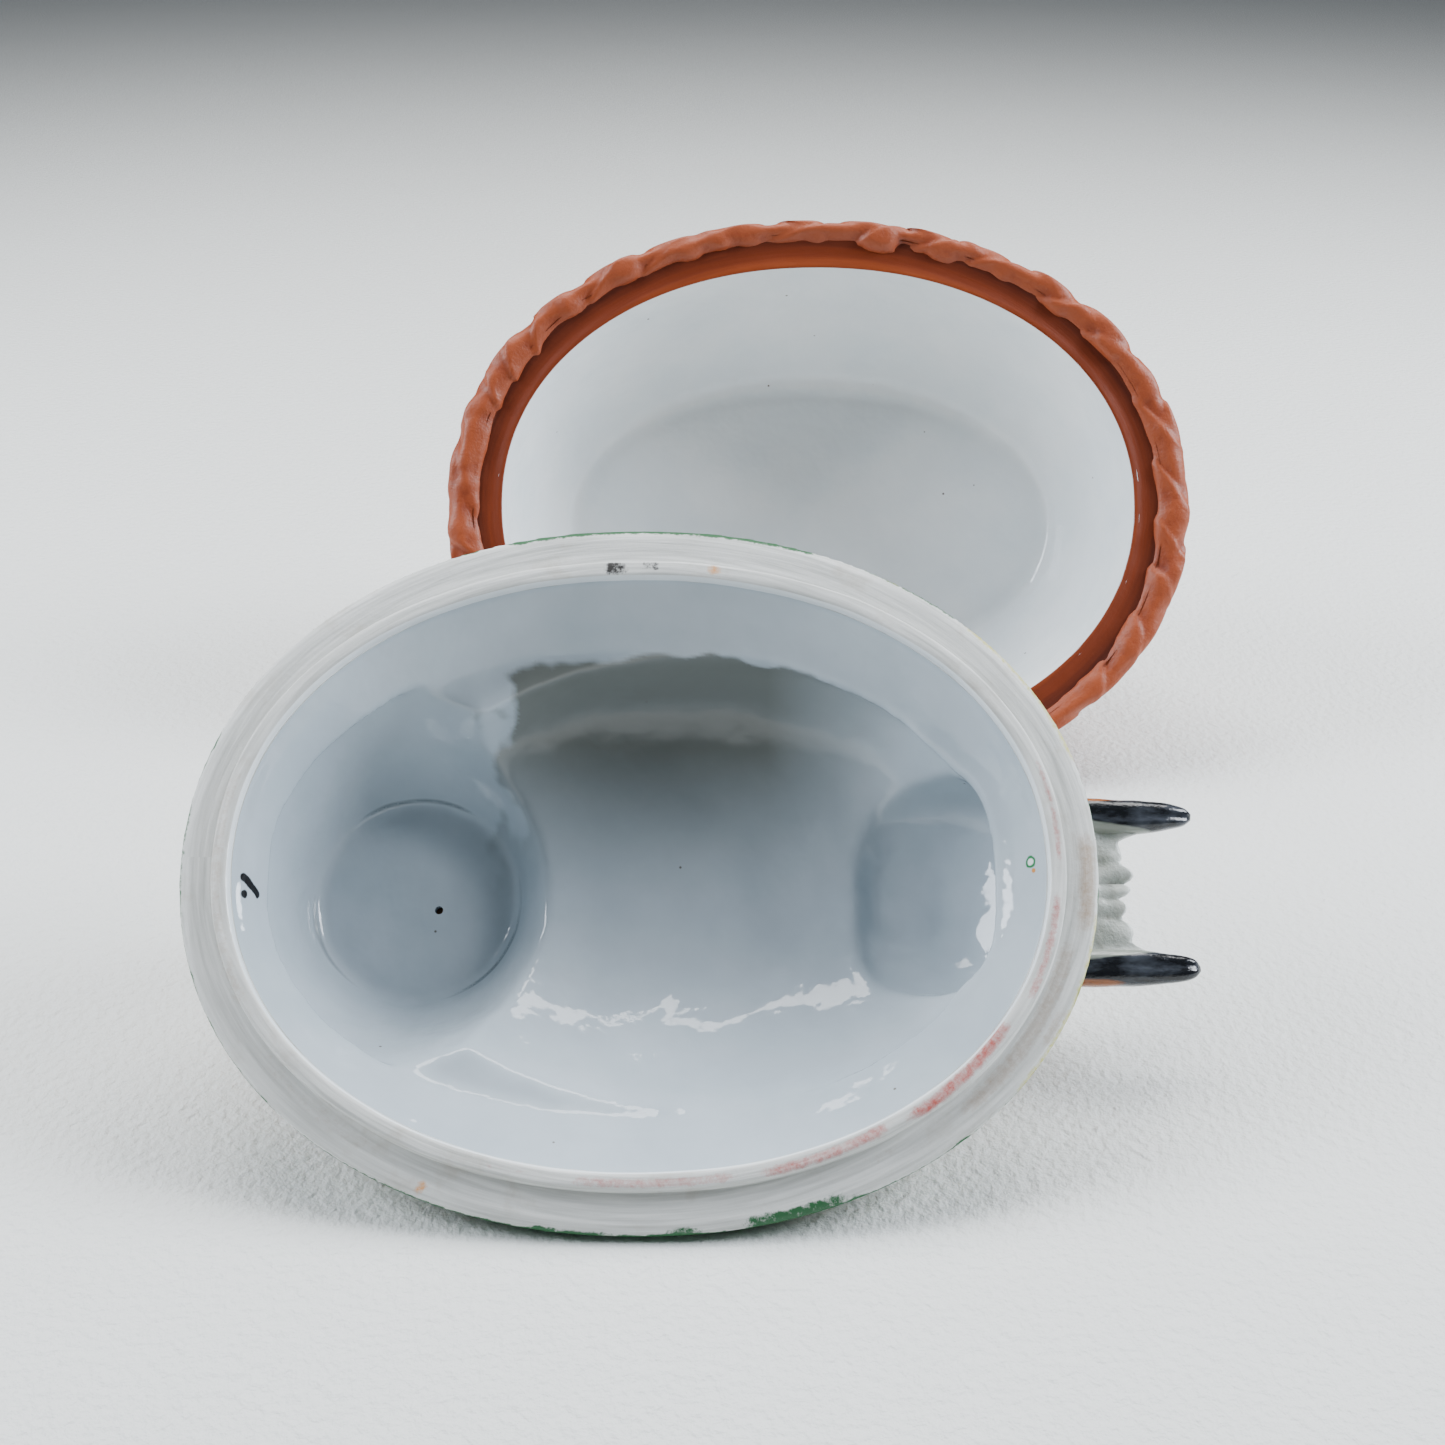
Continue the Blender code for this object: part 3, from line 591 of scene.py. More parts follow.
def make_rim_frill(material):
    """A thick coil round the mouth, long slanting pinches pressed over it, all smeared smooth."""
    unit = lobe_mesh()
    tree = repeat_tree("pinches_round_the_rim", unit, material)
    middle = (LEDGE + FRILL) / 2
    long_pinches = bake_repeat("long", oval_path("long", middle, 1.2 * MM, -6.0 * MM), tree, {
        "Count": 31, "Slant": -0.36, "Slant spread": 0.14, "Tilt": 0.05, "Tilt spread": 0.12,
        "Smallest": 1.0, "Largest": 1.45, "Sway": 0.8 * MM, "Seed": 11})
    short_pinches = bake_repeat("short", oval_path("short", middle, 2.2 * MM, -5.6 * MM), tree, {
        "Count": 23, "Slant": -0.5, "Slant spread": 0.35, "Tilt": 0.0, "Tilt spread": 0.2,
        "Smallest": 0.7, "Largest": 1.0, "Sway": 1.4 * MM, "Seed": 23})
    coil = loft("coil", between(ovals(
        (LEDGE, -0.4, -9), (LEDGE, -0.6, -4.4), (LEDGE, 1.6, -3), (middle, -0.4, -1.5),
        (middle, 1.2, -1.4), (FRILL, -1.9, -4.6), (FRILL, -1.9, -9),
        (middle, 0, FRILL_UNDER / MM + 0.5)), 3), looped=True)
    bpy.data.objects.remove(unit)
    rim = join("pinched_rim", [long_pinches, short_pinches, coil])
    melt(rim, 1.0 * MM, 12)
    points = coords(rim)
    uneven = wobble(points, 15 * MM, 4) * 0.8 * MM + wobble(points, 6 * MM, 3) * 0.4 * MM
    petals = np.arctan2(points[:, 1] / FRILL[1], points[:, 0] / FRILL[0]) / (2 * pi) * 29
    outward = (np.hypot(points[:, 0] / FRILL[0], points[:, 1] / FRILL[1]) - 0.96) * sum(FRILL) / 2
    slanted = petals + wobble(points, 45 * MM, 17) * 0.9 + outward / (17 * MM)
    overlap = (slanted % 1) ** 1.3 * np.minimum((1 - slanted % 1) * 7, 1)
    points += normals(rim) * (uneven + 1.5 * MM * overlap)[:, None]
    reach = oval_reach(points, FRILL)
    points[:, :2] *= (soft_limit(reach, 0.982, 0.9995) / reach)[:, None]
    points[:, 2] = -soft_limit(-points[:, 2], 0.9 * -FRILL_UNDER, -FRILL_UNDER)
    points[:, 2] = soft_limit(points[:, 2], -1.2 * MM, 0.0)
    set_coords(rim, points)
    # The crest value drives painted shade in the frill's hollows and a painted highlight on its
    # crests.
    store(rim, "crest", relief(rim, 10))
    smooth_shade(rim)
    settle(rim, BOWL, "bowl", "terracotta_paint", material, "rim_frill")


def neighbour_sum(edges, values):
    ends = np.concatenate((edges[:, 0], edges[:, 1]))
    others = np.concatenate((edges[:, 1], edges[:, 0]))
    return np.column_stack([
        np.bincount(ends, weights=values[others, k], minlength=len(values)) for k in range(3)])


def relief(piece, passes):
    """How far each point stands above its surroundings: 0 in hollows, 0.5 on flats, 1 on crests."""
    mesh = piece.data
    edges = np.empty(len(mesh.edges) * 2, dtype=np.int64)
    mesh.edges.foreach_get("vertices", edges)
    edges = edges.reshape(-1, 2)
    points = coords(piece)
    count = np.bincount(edges.ravel(), minlength=len(points)).clip(1)[:, None]
    smooth = points.copy()
    for _ in range(passes * 6):
        smooth = neighbour_sum(edges, smooth) / count
    height = ((points - smooth) * normals(piece)).sum(1)
    spread = np.percentile(np.abs(height), 90) + 1e-9
    return np.clip(0.5 + 0.5 * height / spread, 0, 1)


def strand_mesh():
    """One rush of the basket: it rises over a stake in its middle and dives under at both ends."""
    stations = []
    for share in (0.02, 0.2, 0.4, 0.6, 0.8, 0.98):
        arch = sin(pi * share)
        ring = circle_ring(10, 1.3 * MM * (0.6 + 0.4 * arch), 3.1 * MM * (0.75 + 0.25 * arch))
        ring[:, 0] -= 1.3 * MM * arch
        stations.append(np.column_stack((np.full(10, (share - 0.5) * 27 * MM), ring)))
    return loft("rush", stations)


def jacket_half_sizes(z):
    """Half sizes of the jacket's skin at one height, a little inside its widest places."""
    level = np.clip((z - FLOOR_TOP) / (-LEDGE_DROP - FLOOR_TOP), 0, 1)
    spread = 0.45 * level + 0.55 * (1 - (1 - level) ** 2) ** 0.5
    return FLOOR + (MOUTH - FLOOR) * spread + BOWL_WALL + 1.2 * MM


def make_woven_jacket(material):
    """Basketwork pressed over the bowl's outside: rows of rushes, each row half a step round."""
    unit = strand_mesh()
    tree = repeat_tree("rushes_in_rows", unit, material)
    low, high = JACKET[0][2], FRILL_UNDER + 0.5 * MM
    heights = np.linspace(low + 3 * MM, high - 3 * MM, 10)
    rows = []
    for k, z in enumerate(heights):
        lean = 0.95 * (high - z) / (high - low) + 0.05
        path = oval_path("row", jacket_half_sizes(z), 0, z, 320)
        rows.append(bake_repeat("row", path, tree, {
            "Count": 36 if k % 2 else 37, "Slant": 0.0, "Slant spread": 0.04, "Lean": lean,
            "Tilt": 0.0, "Tilt spread": 0.07, "Smallest": 0.96, "Largest": 1.06,
            "Sway": 0.3 * MM, "Seed": 31 + k}))
    inside = [even_oval(jacket_half_sizes(z), -0.9 * MM, z) for z in np.linspace(high, low, 12)]
    outside = [even_oval(jacket_half_sizes(z), 0.2 * MM, z) for z in np.linspace(low, high, 12)]
    skin = loft("skin", inside + outside, looped=True)
    bpy.data.objects.remove(unit)
    jacket = join("woven_jacket_skin", rows + [skin])
    melt(jacket, 1.28 * MM, 2)
    points = coords(jacket)
    points[:, 2] = np.clip(points[:, 2], low, high)
    set_coords(jacket, points)
    # The crest value drives painted shade in the basketwork's hollows and a painted highlight on
    # its crests.
    store(jacket, "crest", relief(jacket, 4))
    smooth_shade(jacket)
    settle(jacket, BOWL, "bowl", "weave_paint", material, "woven_jacket")


def make_foot_ring(material):
    """The turned foot, wiped bare where it stands."""
    width = 9 * MM
    top = BOWL_UNDER + FOOT_HEIGHT + 0.4 * MM
    keys = [
        even_oval(FOOT, 0.0, top), even_oval(FOOT, -0.4 * MM, BOWL_UNDER + 2 * MM),
        even_oval(FOOT, -1.6 * MM, BOWL_UNDER), even_oval(FOOT, -width + 1.6 * MM, BOWL_UNDER),
        even_oval(FOOT, -width + 0.3 * MM, BOWL_UNDER + 2 * MM), even_oval(FOOT, -width, top),
    ]
    piece = loft("foot", between(keys, 4), looped=True)
    points = coords(piece)
    points[:, :2] *= 1 - 0.003 * np.abs(wobble(points, 20 * MM, 5))[:, None]
    set_coords(piece, points)
    ring_uv(piece, FOOT)
    smooth_shade(piece, 50)
    settle(piece, BOWL, "bowl", "biscuit", material, "foot_ring")


# The lid. Its frame has the seat plane at z = 0 and the bird above it; +Y is the side that lies
# nearer to the front of the table.

BODY_X = 15 * MM
RUMP_POWER = 3.2
WELL = (
    # depth, reach to -X, to +X, to -Y and to +Y, all from the body's middle
    (19, 98, 96, 71.5, 71.5), (28, 95, 92, 69, 64.5), (38, 84, 84, 64, 52), (45, 68, 73, 57, 42),
    (50, 48, 60, 48, 31), (53.5, 28, 38, 30, 18), (55, 4, 5, 4, 4),
)
COLLAR = (
    # depth, reach to -X, to +X, to -Y and to +Y, from the lid's middle
    (-6, 124.6, 124.6, 92.6, 92.6), (0, 124, 124, 92, 92), (3, 121, 121.5, 89.5, 89),
    (8, 118.5, 118, 84.5, 84.5), (12, 117.5, 114.5, 80, 80), (16, 116, 109, 75, 76),
    (18.5, 114, 106, 71.5, 73), (20, 104, 98, 62, 64),
)
NECK = (
    # height, reach to -X, to +X and sideways, from the neck's middle
    (18, 42.5, 58, 60), (24, 41.5, 57, 56), (34, 39.0, 56, 50), (42, 37.4, 52, 46),
    (49, 36.4, 46, 42.5), (55, 35.6, 40, 38.5), (60, 34.8, 35.6, 35.6), (62.6, 34, 34.3, 34.3),
    (63.6, 31, 31, 31),
)
RUMP = (
    # height, middle, half length and half width
    (6, 82, 24, 33), (14, 83, 25.5, 34.5), (24, 86, 28, 35), (32, 90, 30, 35), (42, 92, 28, 33),
    (50, 90, 22, 26), (55, 88, 12, 14),
)


def table_rings(table, middle=0.0, swell=0.0, power=OVAL_POWER):
    """Rings of an uneven dish, from rows of depth and four reaches in millimetres."""
    rings = []
    for z, left, right, near, far in table:
        sizes = [value * MM + swell for value in (left, right, near, far)]
        rings.append(oval(*sizes, z * MM + swell, centre=middle, power=power))
    return rings


def neck_rings(swell):
    rings = []
    for z, front, back, side in NECK:
        sizes = (front * MM + swell, back * MM + swell, side * MM + swell, side * MM + swell)
        rings.append(oval(*sizes, z * MM + swell, centre=NECK_X, power=2.0))
    return rings


def rump_rings(swell):
    rings = []
    for z, middle, along, across in RUMP:
        a, b = along * MM + swell, across * MM + swell
        rings.append(oval(a, a, b, b, z * MM + swell, centre=middle * MM, power=RUMP_POWER))
    return rings


def make_hollow():
    """Everything that is open inside the lid, as one soft solid."""
    parts = [
        loft("collar", between(table_rings(COLLAR), 4)),
        loft("body", between(table_rings(WELL, BODY_X), 4)),
        loft("neck", between(neck_rings(0.0), 4)),
        loft("rump", between(rump_rings(0.0), 4)),
    ]
    hollow = join("hollow", parts)
    melt(hollow, 1.35 * MM, 20)
    points = coords(hollow)
    normal = normals(hollow)
    deep = np.clip((points[:, 2] - 6 * MM) / (10 * MM), 0, 1)
    ran = wobble(points * (1, 1, 0.6), 22 * MM, 6) * 0.7 * MM + wobble(points, 8 * MM, 7) * 0.2 * MM
    points += normal * (ran * deep)[:, None]
    set_coords(hollow, points)
    vent = loft("vent", [np.column_stack((circle_ring(20, VENT, VENT), np.full(20, z))) + VENT_PLACE
                         for z in (-6 * MM, 10 * MM)])
    return hollow, vent


LID_WALL = 5 * MM
DOME = np.array([116.3, 112.8, 76.8, 76.8]) * MM
DOME_BASE, DOME_RISE = 17 * MM, 43 * MM
DOME_POWER = 2.2
VENT = 1.4 * MM
VENT_PLACE = np.array([-70 * MM, 3 * MM, NECK_FLOOR])


def dome_width(share):
    """How wide the bird's back still is, of 1, at a share of its rise."""
    return (1 - share ** DOME_POWER) ** (1 / DOME_POWER)


def make_outside():
    """The bird's body, neck and rump standing on the brim, before it is hollowed."""
    body = [oval(*DOME, z * MM) for z in (6, 15)]
    for share in (0.2, 0.45, 0.68, 0.86, 0.97):
        body.append(oval(*(DOME * dome_width(share)), DOME_BASE + DOME_RISE * share))
    body.append(even_oval((6 * MM, 6 * MM), 0, DOME_BASE + DOME_RISE))
    brim = ovals((LID_EDGE, -4, 0), (LID_EDGE, -0.9, 0.25), (LID_EDGE, -0.1, 1.6),
                 (LID_EDGE, -0.1, 5), (LID_EDGE, -1.6, 7), (LID_EDGE, -10, 10))
    brim += [oval(118 * MM, 115 * MM, 80 * MM, 80 * MM, 15 * MM),
             oval(100 * MM, 100 * MM, 60 * MM, 60 * MM, 17 * MM)]
    neck = neck_rings(4.4 * MM)[:-1]
    neck[0][:, 2] = 8 * MM
    shoulder = table_rings(COLLAR[3:], swell=LID_WALL)
    walls = table_rings(WELL, BODY_X, LID_WALL)
    for rings in (shoulder, walls):
        rings.insert(0, rings[0] * (1, 1, 0) + np.array([0, 0, 7 * MM]))
    parts = [
        loft("brim", brim), loft("body", between(body, 3)), loft("neck", between(neck, 3)),
        loft("rump", between(rump_rings(LID_WALL), 3)), loft("shoulder", between(shoulder, 3)),
        loft("walls", between(walls, 3)),
    ]
    outside = join("outside", parts)
    melt(outside, 1.5 * MM, 4)
    points = coords(outside)
    points[:, 2] = np.clip(points[:, 2], 0, 68 * MM)
    set_coords(outside, points)
    feathers(outside, points[:, 2] > 16 * MM, 13 * MM, 11 * MM, 0.9 * MM)
    return outside


def feathers(piece, where, length, width, height):
    """Raise rows of overlapping round-ended feathers that point to the tail, and store them."""
    points = coords(piece)
    normal = normals(piece)
    across = np.arctan2(points[:, 1], points[:, 2]) * 62 * MM
    along = points[:, 0] + wobble(points, 25 * MM, 8) * 2 * MM
    best = np.zeros(len(points))
    rib = np.zeros(len(points))
    for row in range(-1, 2):
        step = np.floor(along / length) + row
        shift = (step % 2) * 0.5
        lane = across / width + shift
        offset = (lane - np.round(lane)) * 2
        run = along / length - step
        end = 1.55 - 0.55 * offset ** 2
        inside = (run > 0) & (run < end) & (np.abs(offset) <= 1)
        rise = np.where(inside, 0.25 + 0.75 * run / np.maximum(end, 0.1), 0)
        newer = rise > best
        best = np.where(newer, rise, best)
        rib = np.where(newer, np.exp(-(offset / 0.12) ** 2), rib)
    raised = np.where(where, best, 0)
    points += normal * (raised * height - 0.45 * height * where)[:, None]
    set_coords(piece, points)
    store(piece, "crest", raised)
    store(piece, "rib", np.where(where, rib, 0))


def cut(piece, tool):
    """Subtract the tool; the new faces keep the tool's own material number."""
    modifier = piece.modifiers.new("hollow", "BOOLEAN")
    modifier.material_mode = "INDEX"
    modifier.operation = "DIFFERENCE"
    modifier.solver = "MANIFOLD"
    modifier.object = tool
    apply_modifiers(piece)
    bpy.data.objects.remove(tool)


SMEARS = {
    # kind of mark: arcs of it as first and last degree round the lid from +X to +Y, how far inside
    # the lid's edge in millimetres, half width in millimetres and strength
    "brown_rub": (
        (-8, 14, 3.5, 3, 0.9), (10, 48, 7, 3, 0.75), (20, 34, 2.5, 2, 0.7),
        (150, 200, 11, 3, 0.6), (120, 150, 8, 4, 0.5), (50, 64, 9, 3, 0.5),
        (-30, -12, 6, 3, 0.45)),
    "green_edge": (
        (60, 80, 1.4, 3.4, 0.84), (78, 90, 0.8, 2.6, 0.82), (88, 106, 0.2, 2.0, 0.78),
        (166, 192, 0.2, 1.8, 0.7), (108, 128, 0.0, 1.4, 0.6), (-112, -64, 0.5, 2.4, 0.95),
        (-62, -42, 0.4, 1.6, 0.8), (38, 46, 0.5, 2.0, 0.6)),
    "yellow_edge": (
        (-48, -14, 0.3, 2.2, 0.85), (4, 42, 0.2, 1.8, 0.8), (-62, -50, 0.4, 1.8, 0.7)),
    "red_rub": (
        (26, 54, 14.4, 2.6, 0.93), (50, 76, 15.8, 2.5, 0.86), (72, 102, 16.8, 2.4, 0.78),
        (2, 28, 12.2, 1.6, 0.85), (-22, 4, 11.6, 1.2, 0.8), (100, 116, 16.6, 1.6, 0.6)),
    "black_smear": ((-99, -90, 17.4, 3.8, 1.0), (-92, -86, 16.6, 2.8, 1.0)),
    "orange_dab": (
        (-82, -77, 16.6, 2.6, 0.9), (115, 118, 4.0, 3.0, 0.9), (146, 150, 2.0, 2.0, 0.5)),
}


def soil(piece):
    """How strongly each mark of making and handling lies at each point."""
    points = coords(piece)
    share = points[:, :2] / LID_EDGE
    turn = np.degrees(np.arctan2(share[:, 1], share[:, 0]))
    inside = (1 - oval_reach(points, LID_EDGE)) * (LID_EDGE[0] + LID_EDGE[1]) / 2 / MM
    for kind, arcs in SMEARS.items():
        value = np.zeros(len(points))
        for first, last, depth, half, strength in arcs:
            middle, spread = (first + last) / 2, (last - first) / 2
            off = np.abs((turn - middle + 180) % 360 - 180)
            ends = np.clip((spread - off) / min(spread, 6) + 0.15, 0, 1)
            sides = np.clip(1.4 * (1 - np.abs(inside - depth) / (half * 1.5)), 0, 1)
            value = np.maximum(value, strength * ends * sides)
        if kind == "green_edge":
            ragged = wobble(points, 9 * MM, 16) * 1.2
            above = np.clip(points[:, 2] / MM + ragged - 0.9, 0, 1)
            value = np.maximum(value, 0.95 * above)
        store(piece, kind, value)


def paint_faces(piece, materials, choose):
    """Give each face the material whose number choose returns for its middle and normal."""
    piece.data.materials.clear()
    for material in materials:
        piece.data.materials.append(material)
    faces = piece.data.polygons
    middles, ways = np.empty((2, len(faces) * 3))
    faces.foreach_get("center", middles)
    faces.foreach_get("normal", ways)
    chosen = choose(middles.reshape(-1, 3), ways.reshape(-1, 3))
    faces.foreach_set("material_index", chosen.astype(np.int32))


def paint_lid_shade(piece):
    """Painted shade inside the lid: dark grey over the steep far wall of the bird's body, where
    shade falls and a dark room is reflected, and a grey line round the crease at the neck's floor.
    """
    points = coords(piece)
    x, y, z = points.T / MM
    edge = wobble(points, 16 * MM, 14) * 9 + wobble(points, 5 * MM, 15) * 3
    deep = np.clip((z - 17.5 + edge * 0.35) / 1.2, 0, 1)
    side = np.clip((-y + 2) / 52, 0, 1) ** 1.3
    ends = np.clip((x + 50 + edge * 1.6) / 4, 0, 1) * np.clip((90 - x) / 50, 0, 1)
    # thin holds painted shade and a painted reflection of a dark room on the far wall; it also
    # makes the glaze rougher there.
    store(piece, "thin", deep * side * ends)
    # Painted shade: a grey line round the crease where the neck's floor meets its wall.
    around = np.hypot(x - NECK_X / MM, y)
    neck_crease_shade = np.exp(-((around - 34.6 + edge * 0.04) / 0.9) ** 2) * (z > 57)
    store(piece, "neck_crease_shade", neck_crease_shade * np.clip(0.55 + wobble(points, 30 * MM, 17) * 1.4, 0, 1))


def make_lid_shell(glaze, biscuit, plumage):
    outside = make_outside()
    skins = (glaze, biscuit, plumage)
    paint_faces(outside, skins, lambda middles, ways: np.where(middles[:, 2] < 7.5 * MM, 1, 2))
    for tool in make_hollow():
        paint_faces(tool, skins, lambda middles, ways: np.zeros(len(middles)))
        cut(outside, tool)
    outside.name = "lid_body"
    outside.data.materials[0] = marked_glaze(outside)
    soil(outside)
    paint_lid_shade(outside)
    ring_uv(outside, LID_EDGE)
    smooth_shade(outside, 45)
    settle(outside, LID, "lid", "white_glaze", None, "lid_shell")


def make_flange(biscuit, glaze):
    """The raised lip that drops into the bowl's mouth, its crest worn round."""
    inner, outer = FLANGE_INNER, FLANGE
    rows = ((inner, 0.1, 0.6), (inner, 0.1, -2.4), (inner, 0.6, -3.6), (inner, 1.7, -4),
            (outer, -1.3, -4), (outer, -0.4, -3.5), (outer, -0.1, -2.2), (outer, 0.1, -0.5),
            (outer, 0.7, 0.5))
    piece = loft("seating_flange", between(ovals(*rows), 3), looped=True)
    points = coords(piece)
    crest = np.clip(-points[:, 2] / FLANGE_HEIGHT, 0, 1)
    points[:, 2] += crest * (wobble(points, 14 * MM, 9) * 0.28 + 0.15) * MM
    points[:, :2] *= 1 + 0.0022 * wobble(points, 24 * MM, 10)[:, None]
    points[:, 2] = np.maximum(points[:, 2], -FLANGE_HEIGHT)
    set_coords(piece, points)
    soil(piece)

    def choose(middles, ways):
        outward = ways[:, 0] * middles[:, 0] + ways[:, 1] * middles[:, 1]
        return np.where((outward < 0) & (ways[:, 2] > -0.75), 1, 0)

    paint_faces(piece, (biscuit, glaze), choose)
    ring_uv(piece, FLANGE)
    smooth_shade(piece, 60)
    settle(piece, LID, "lid", "biscuit", None, "locating_flange")


def leaf_unit():
    """One leaf, stalk at its middle end: a pointed blade with a sunk midrib, long way along Y."""
    rows, points, faces = 9, [], []
    for row in range(rows):
        share = row / (rows - 1)
        half = 8.5 * MM * (sin(pi * min(share * 0.93 + 0.07, 1.0)) ** 0.75) + 0.3 * MM
        y = (0.5 - share) * 25 * MM
        for side in (-1.0, -0.5, 0.0, 0.5, 1.0):
            sag = 0.5 * abs(side) ** 0.5 - side ** 2 + 1.5 * sin(pi * share)
            points.append((side * half, y, sag * MM))
    for row in range(rows - 1):
        for k in range(4):
            low = row * 5 + k
            faces.append((low, low + 1, low + 6, low + 5))
    leaf = mesh_object("leaf", points, faces)
    across = np.array([abs(side) for _ in range(rows) for side in (-1.0, -0.5, 0.0, 0.5, 1.0)])
    tip = np.repeat(np.abs(np.linspace(-1, 1, rows)), 5)
    store(leaf, "edge", np.maximum(across, tip ** 3))
    solid = leaf.modifiers.new("thick", "SOLIDIFY")
    solid.thickness = 1.6 * MM
    solid.offset = -1
    smooth = leaf.modifiers.new("round", "SUBSURF")
    smooth.levels = 1
    apply_modifiers(leaf)
    return leaf


def make_leaf_border(material):
    """Glazed leaves laid round the outside of the brim, each over its neighbour."""
    unit = leaf_unit()
    tree = repeat_tree("leaves_round_the_brim", unit, material)
    line = (LID_EDGE + np.array([116.5, 77]) * MM) / 2
    ring = bake_repeat("leaves", oval_path("leaf_line", line, 1.5 * MM, 14.0 * MM), tree, {
        "Count": 46, "Slant": -0.5, "Slant spread": 0.15, "Lean": 0.42, "Tilt": 0.12,
        "Tilt spread": 0.05, "Smallest": 0.9, "Largest": 1.05, "Sway": 0.5 * MM, "Seed": 51})
    bpy.data.objects.remove(unit)
    ring.name = "leaf_ring"
    bed = ovals((LID_EDGE, -4, 8), (LID_EDGE, -4.5, 10), (line, 0, 13.5), (line, 0, 10))
    bed[3:3] = [oval(121 * MM, 118 * MM, 82 * MM, 82 * MM, z * MM) for z in (16, 14)]
    under = loft("leaf_bed", bed, looped=True)
    store(under, "edge", np.zeros(len(under.data.vertices)))
    border = join("leaf_ring", [ring, under])
    points = coords(border)
    points[:, 2] = np.clip(points[:, 2], 7.6 * MM, 19 * MM)
    set_coords(border, points)
    smooth_shade(border, 50)
    settle(border, LID, "lid", "leaf_glaze", material, "leaf_border")


def make_head(material):
    """Round head; it is what the lid's front rests on, so it keeps inside the CAD's dome."""
    rings = []
    for share in np.linspace(0, 1, 22):
        height = HEAD_LOW + (HEAD_HIGH - HEAD_LOW) * share
        radius = max(HEAD_RADIUS ** 2 - (height - HEAD_CENTRE) ** 2, 0.0) ** 0.5
        rings.append(oval(radius, radius, radius, radius, height, 120, 2.0, NECK_X))
    rings[-1] = rings[-2] * 0.02 + np.array([NECK_X, 0, HEAD_HIGH]) * 0.98
    piece = loft("head", rings)
    points = coords(piece)
    near_eye = np.minimum(*(np.linalg.norm(points - np.array([-97, y, 84]) * MM, axis=1)
                            for y in (26, -26)))
    socket = np.exp(-((near_eye - 6.5 * MM) / (1.6 * MM)) ** 2)
    streak = np.clip(1 - np.abs(points[:, 2] - 90 * MM) / (5 * MM), 0, 1)
    store(piece, "socket", socket)
    store(piece, "streak", streak * (np.abs(points[:, 1]) > 8 * MM))
    down = 0.9 * MM * (1 - socket) * (points[:, 2] < 92 * MM) * np.abs(wobble(points, 5 * MM, 12))
    points[:, 0] = NECK_X + (points[:, 0] - NECK_X) * (1 - down / HEAD_RADIUS)
    points[:, 1] *= 1 - down / HEAD_RADIUS
    set_coords(piece, points)
    smooth_shade(piece, 60)
    settle(piece, LID, "lid", "plumage_glaze", material, "bird_head")


def box_of(node):
    low, high = local_box(node, LID)
    return low, high, (low + high) / 2


def make_beak(material):
    """Two halves of a short beak, each tapering to a point and flatter below than above."""
    turn = 2 * pi * np.arange(28) / 28
    ridge = np.sin(turn) * np.where(np.sin(turn) > 0, 1.0, 0.7)
    for node, name, lift, thick, rise in (
        ("beak_upper", "upper_beak", 0.5 * MM, 0.36, 0.25),
        ("beak_lower", "lower_beak", 0.0, 0.42, 0.1),
    ):
        low, high, _ = box_of(node)
        root_height = high[2] - low[2]
        rings = []
        for share in np.linspace(0, 1, 9):
            size = 1 - 0.78 * share ** 1.4
            tall = root_height * thick * size
            middle = low[2] + lift + tall + (1 - share) * root_height * rise
            x = np.full(28, high[0] + (low[0] - high[0]) * share)
            rings.append(np.column_stack((x, high[1] * size * np.cos(turn), middle + tall * ridge)))
        piece = loft(name, rings)
        smooth_shade(piece, 60)
        settle(piece, LID, "lid", "beak_glaze", material, node)


def make_eyes(material):
    """Glossy beads of dark glaze, set in the rim that is modelled round each socket."""
    for node, name in (("eye_left", "left_eye"), ("eye_right", "right_eye")):
        low, high, middle = box_of(node)
        out = middle - np.array([NECK_X, 0, HEAD_CENTRE])
        out /= np.linalg.norm(out)
        side = np.cross((0, 0, 1), out)
        side /= np.linalg.norm(side)
        up = np.cross(out, side)
        rings = []
        for share in np.linspace(-0.6, 0.98, 9):
            radius = 3.5 * MM * (1 - abs(share) ** 2.4) ** 0.5
            centre = middle + out * (share * 1.5 - 0.3) * MM
            rings.append(np.array([centre + side * radius * cos(t) + up * radius * 0.94 * sin(t)
                                   for t in 2 * pi * np.arange(24) / 24]))
        piece = loft(name, rings)
        smooth_shade(piece, 70)
        settle(piece, LID, "lid", "eye_glaze", material, node)


def body_side(x, height, side):
    """Half width of the body's outside at one place along it and one height, on one side."""

    def half_width(width, length, middle=0.0, power=OVAL_POWER):
        return width * max(1 - (abs(x - middle) / length) ** power, 0) ** (1 / power)

    def at_depth(table, column):
        depths, values = [row[0] for row in table], [row[column] for row in table]
        return np.interp((height - LID_WALL) / MM, depths, values) * MM

    narrow = dome_width(np.clip((height - DOME_BASE) / DOME_RISE, 0, 1))
    dome = half_width(DOME[2] * narrow, DOME[1 if x >= 0 else 0] * narrow)
    along = at_depth(WELL, 2 if x > BODY_X else 1) + LID_WALL
    wall = half_width(at_depth(WELL, 3 if side < 0 else 4) + LID_WALL, along, BODY_X)
    middle, length, width = (at_depth(RUMP, k) for k in (1, 2, 3))
    rump = half_width(width + LID_WALL, length + LID_WALL, middle, RUMP_POWER)
    return max(dome, wall, rump)


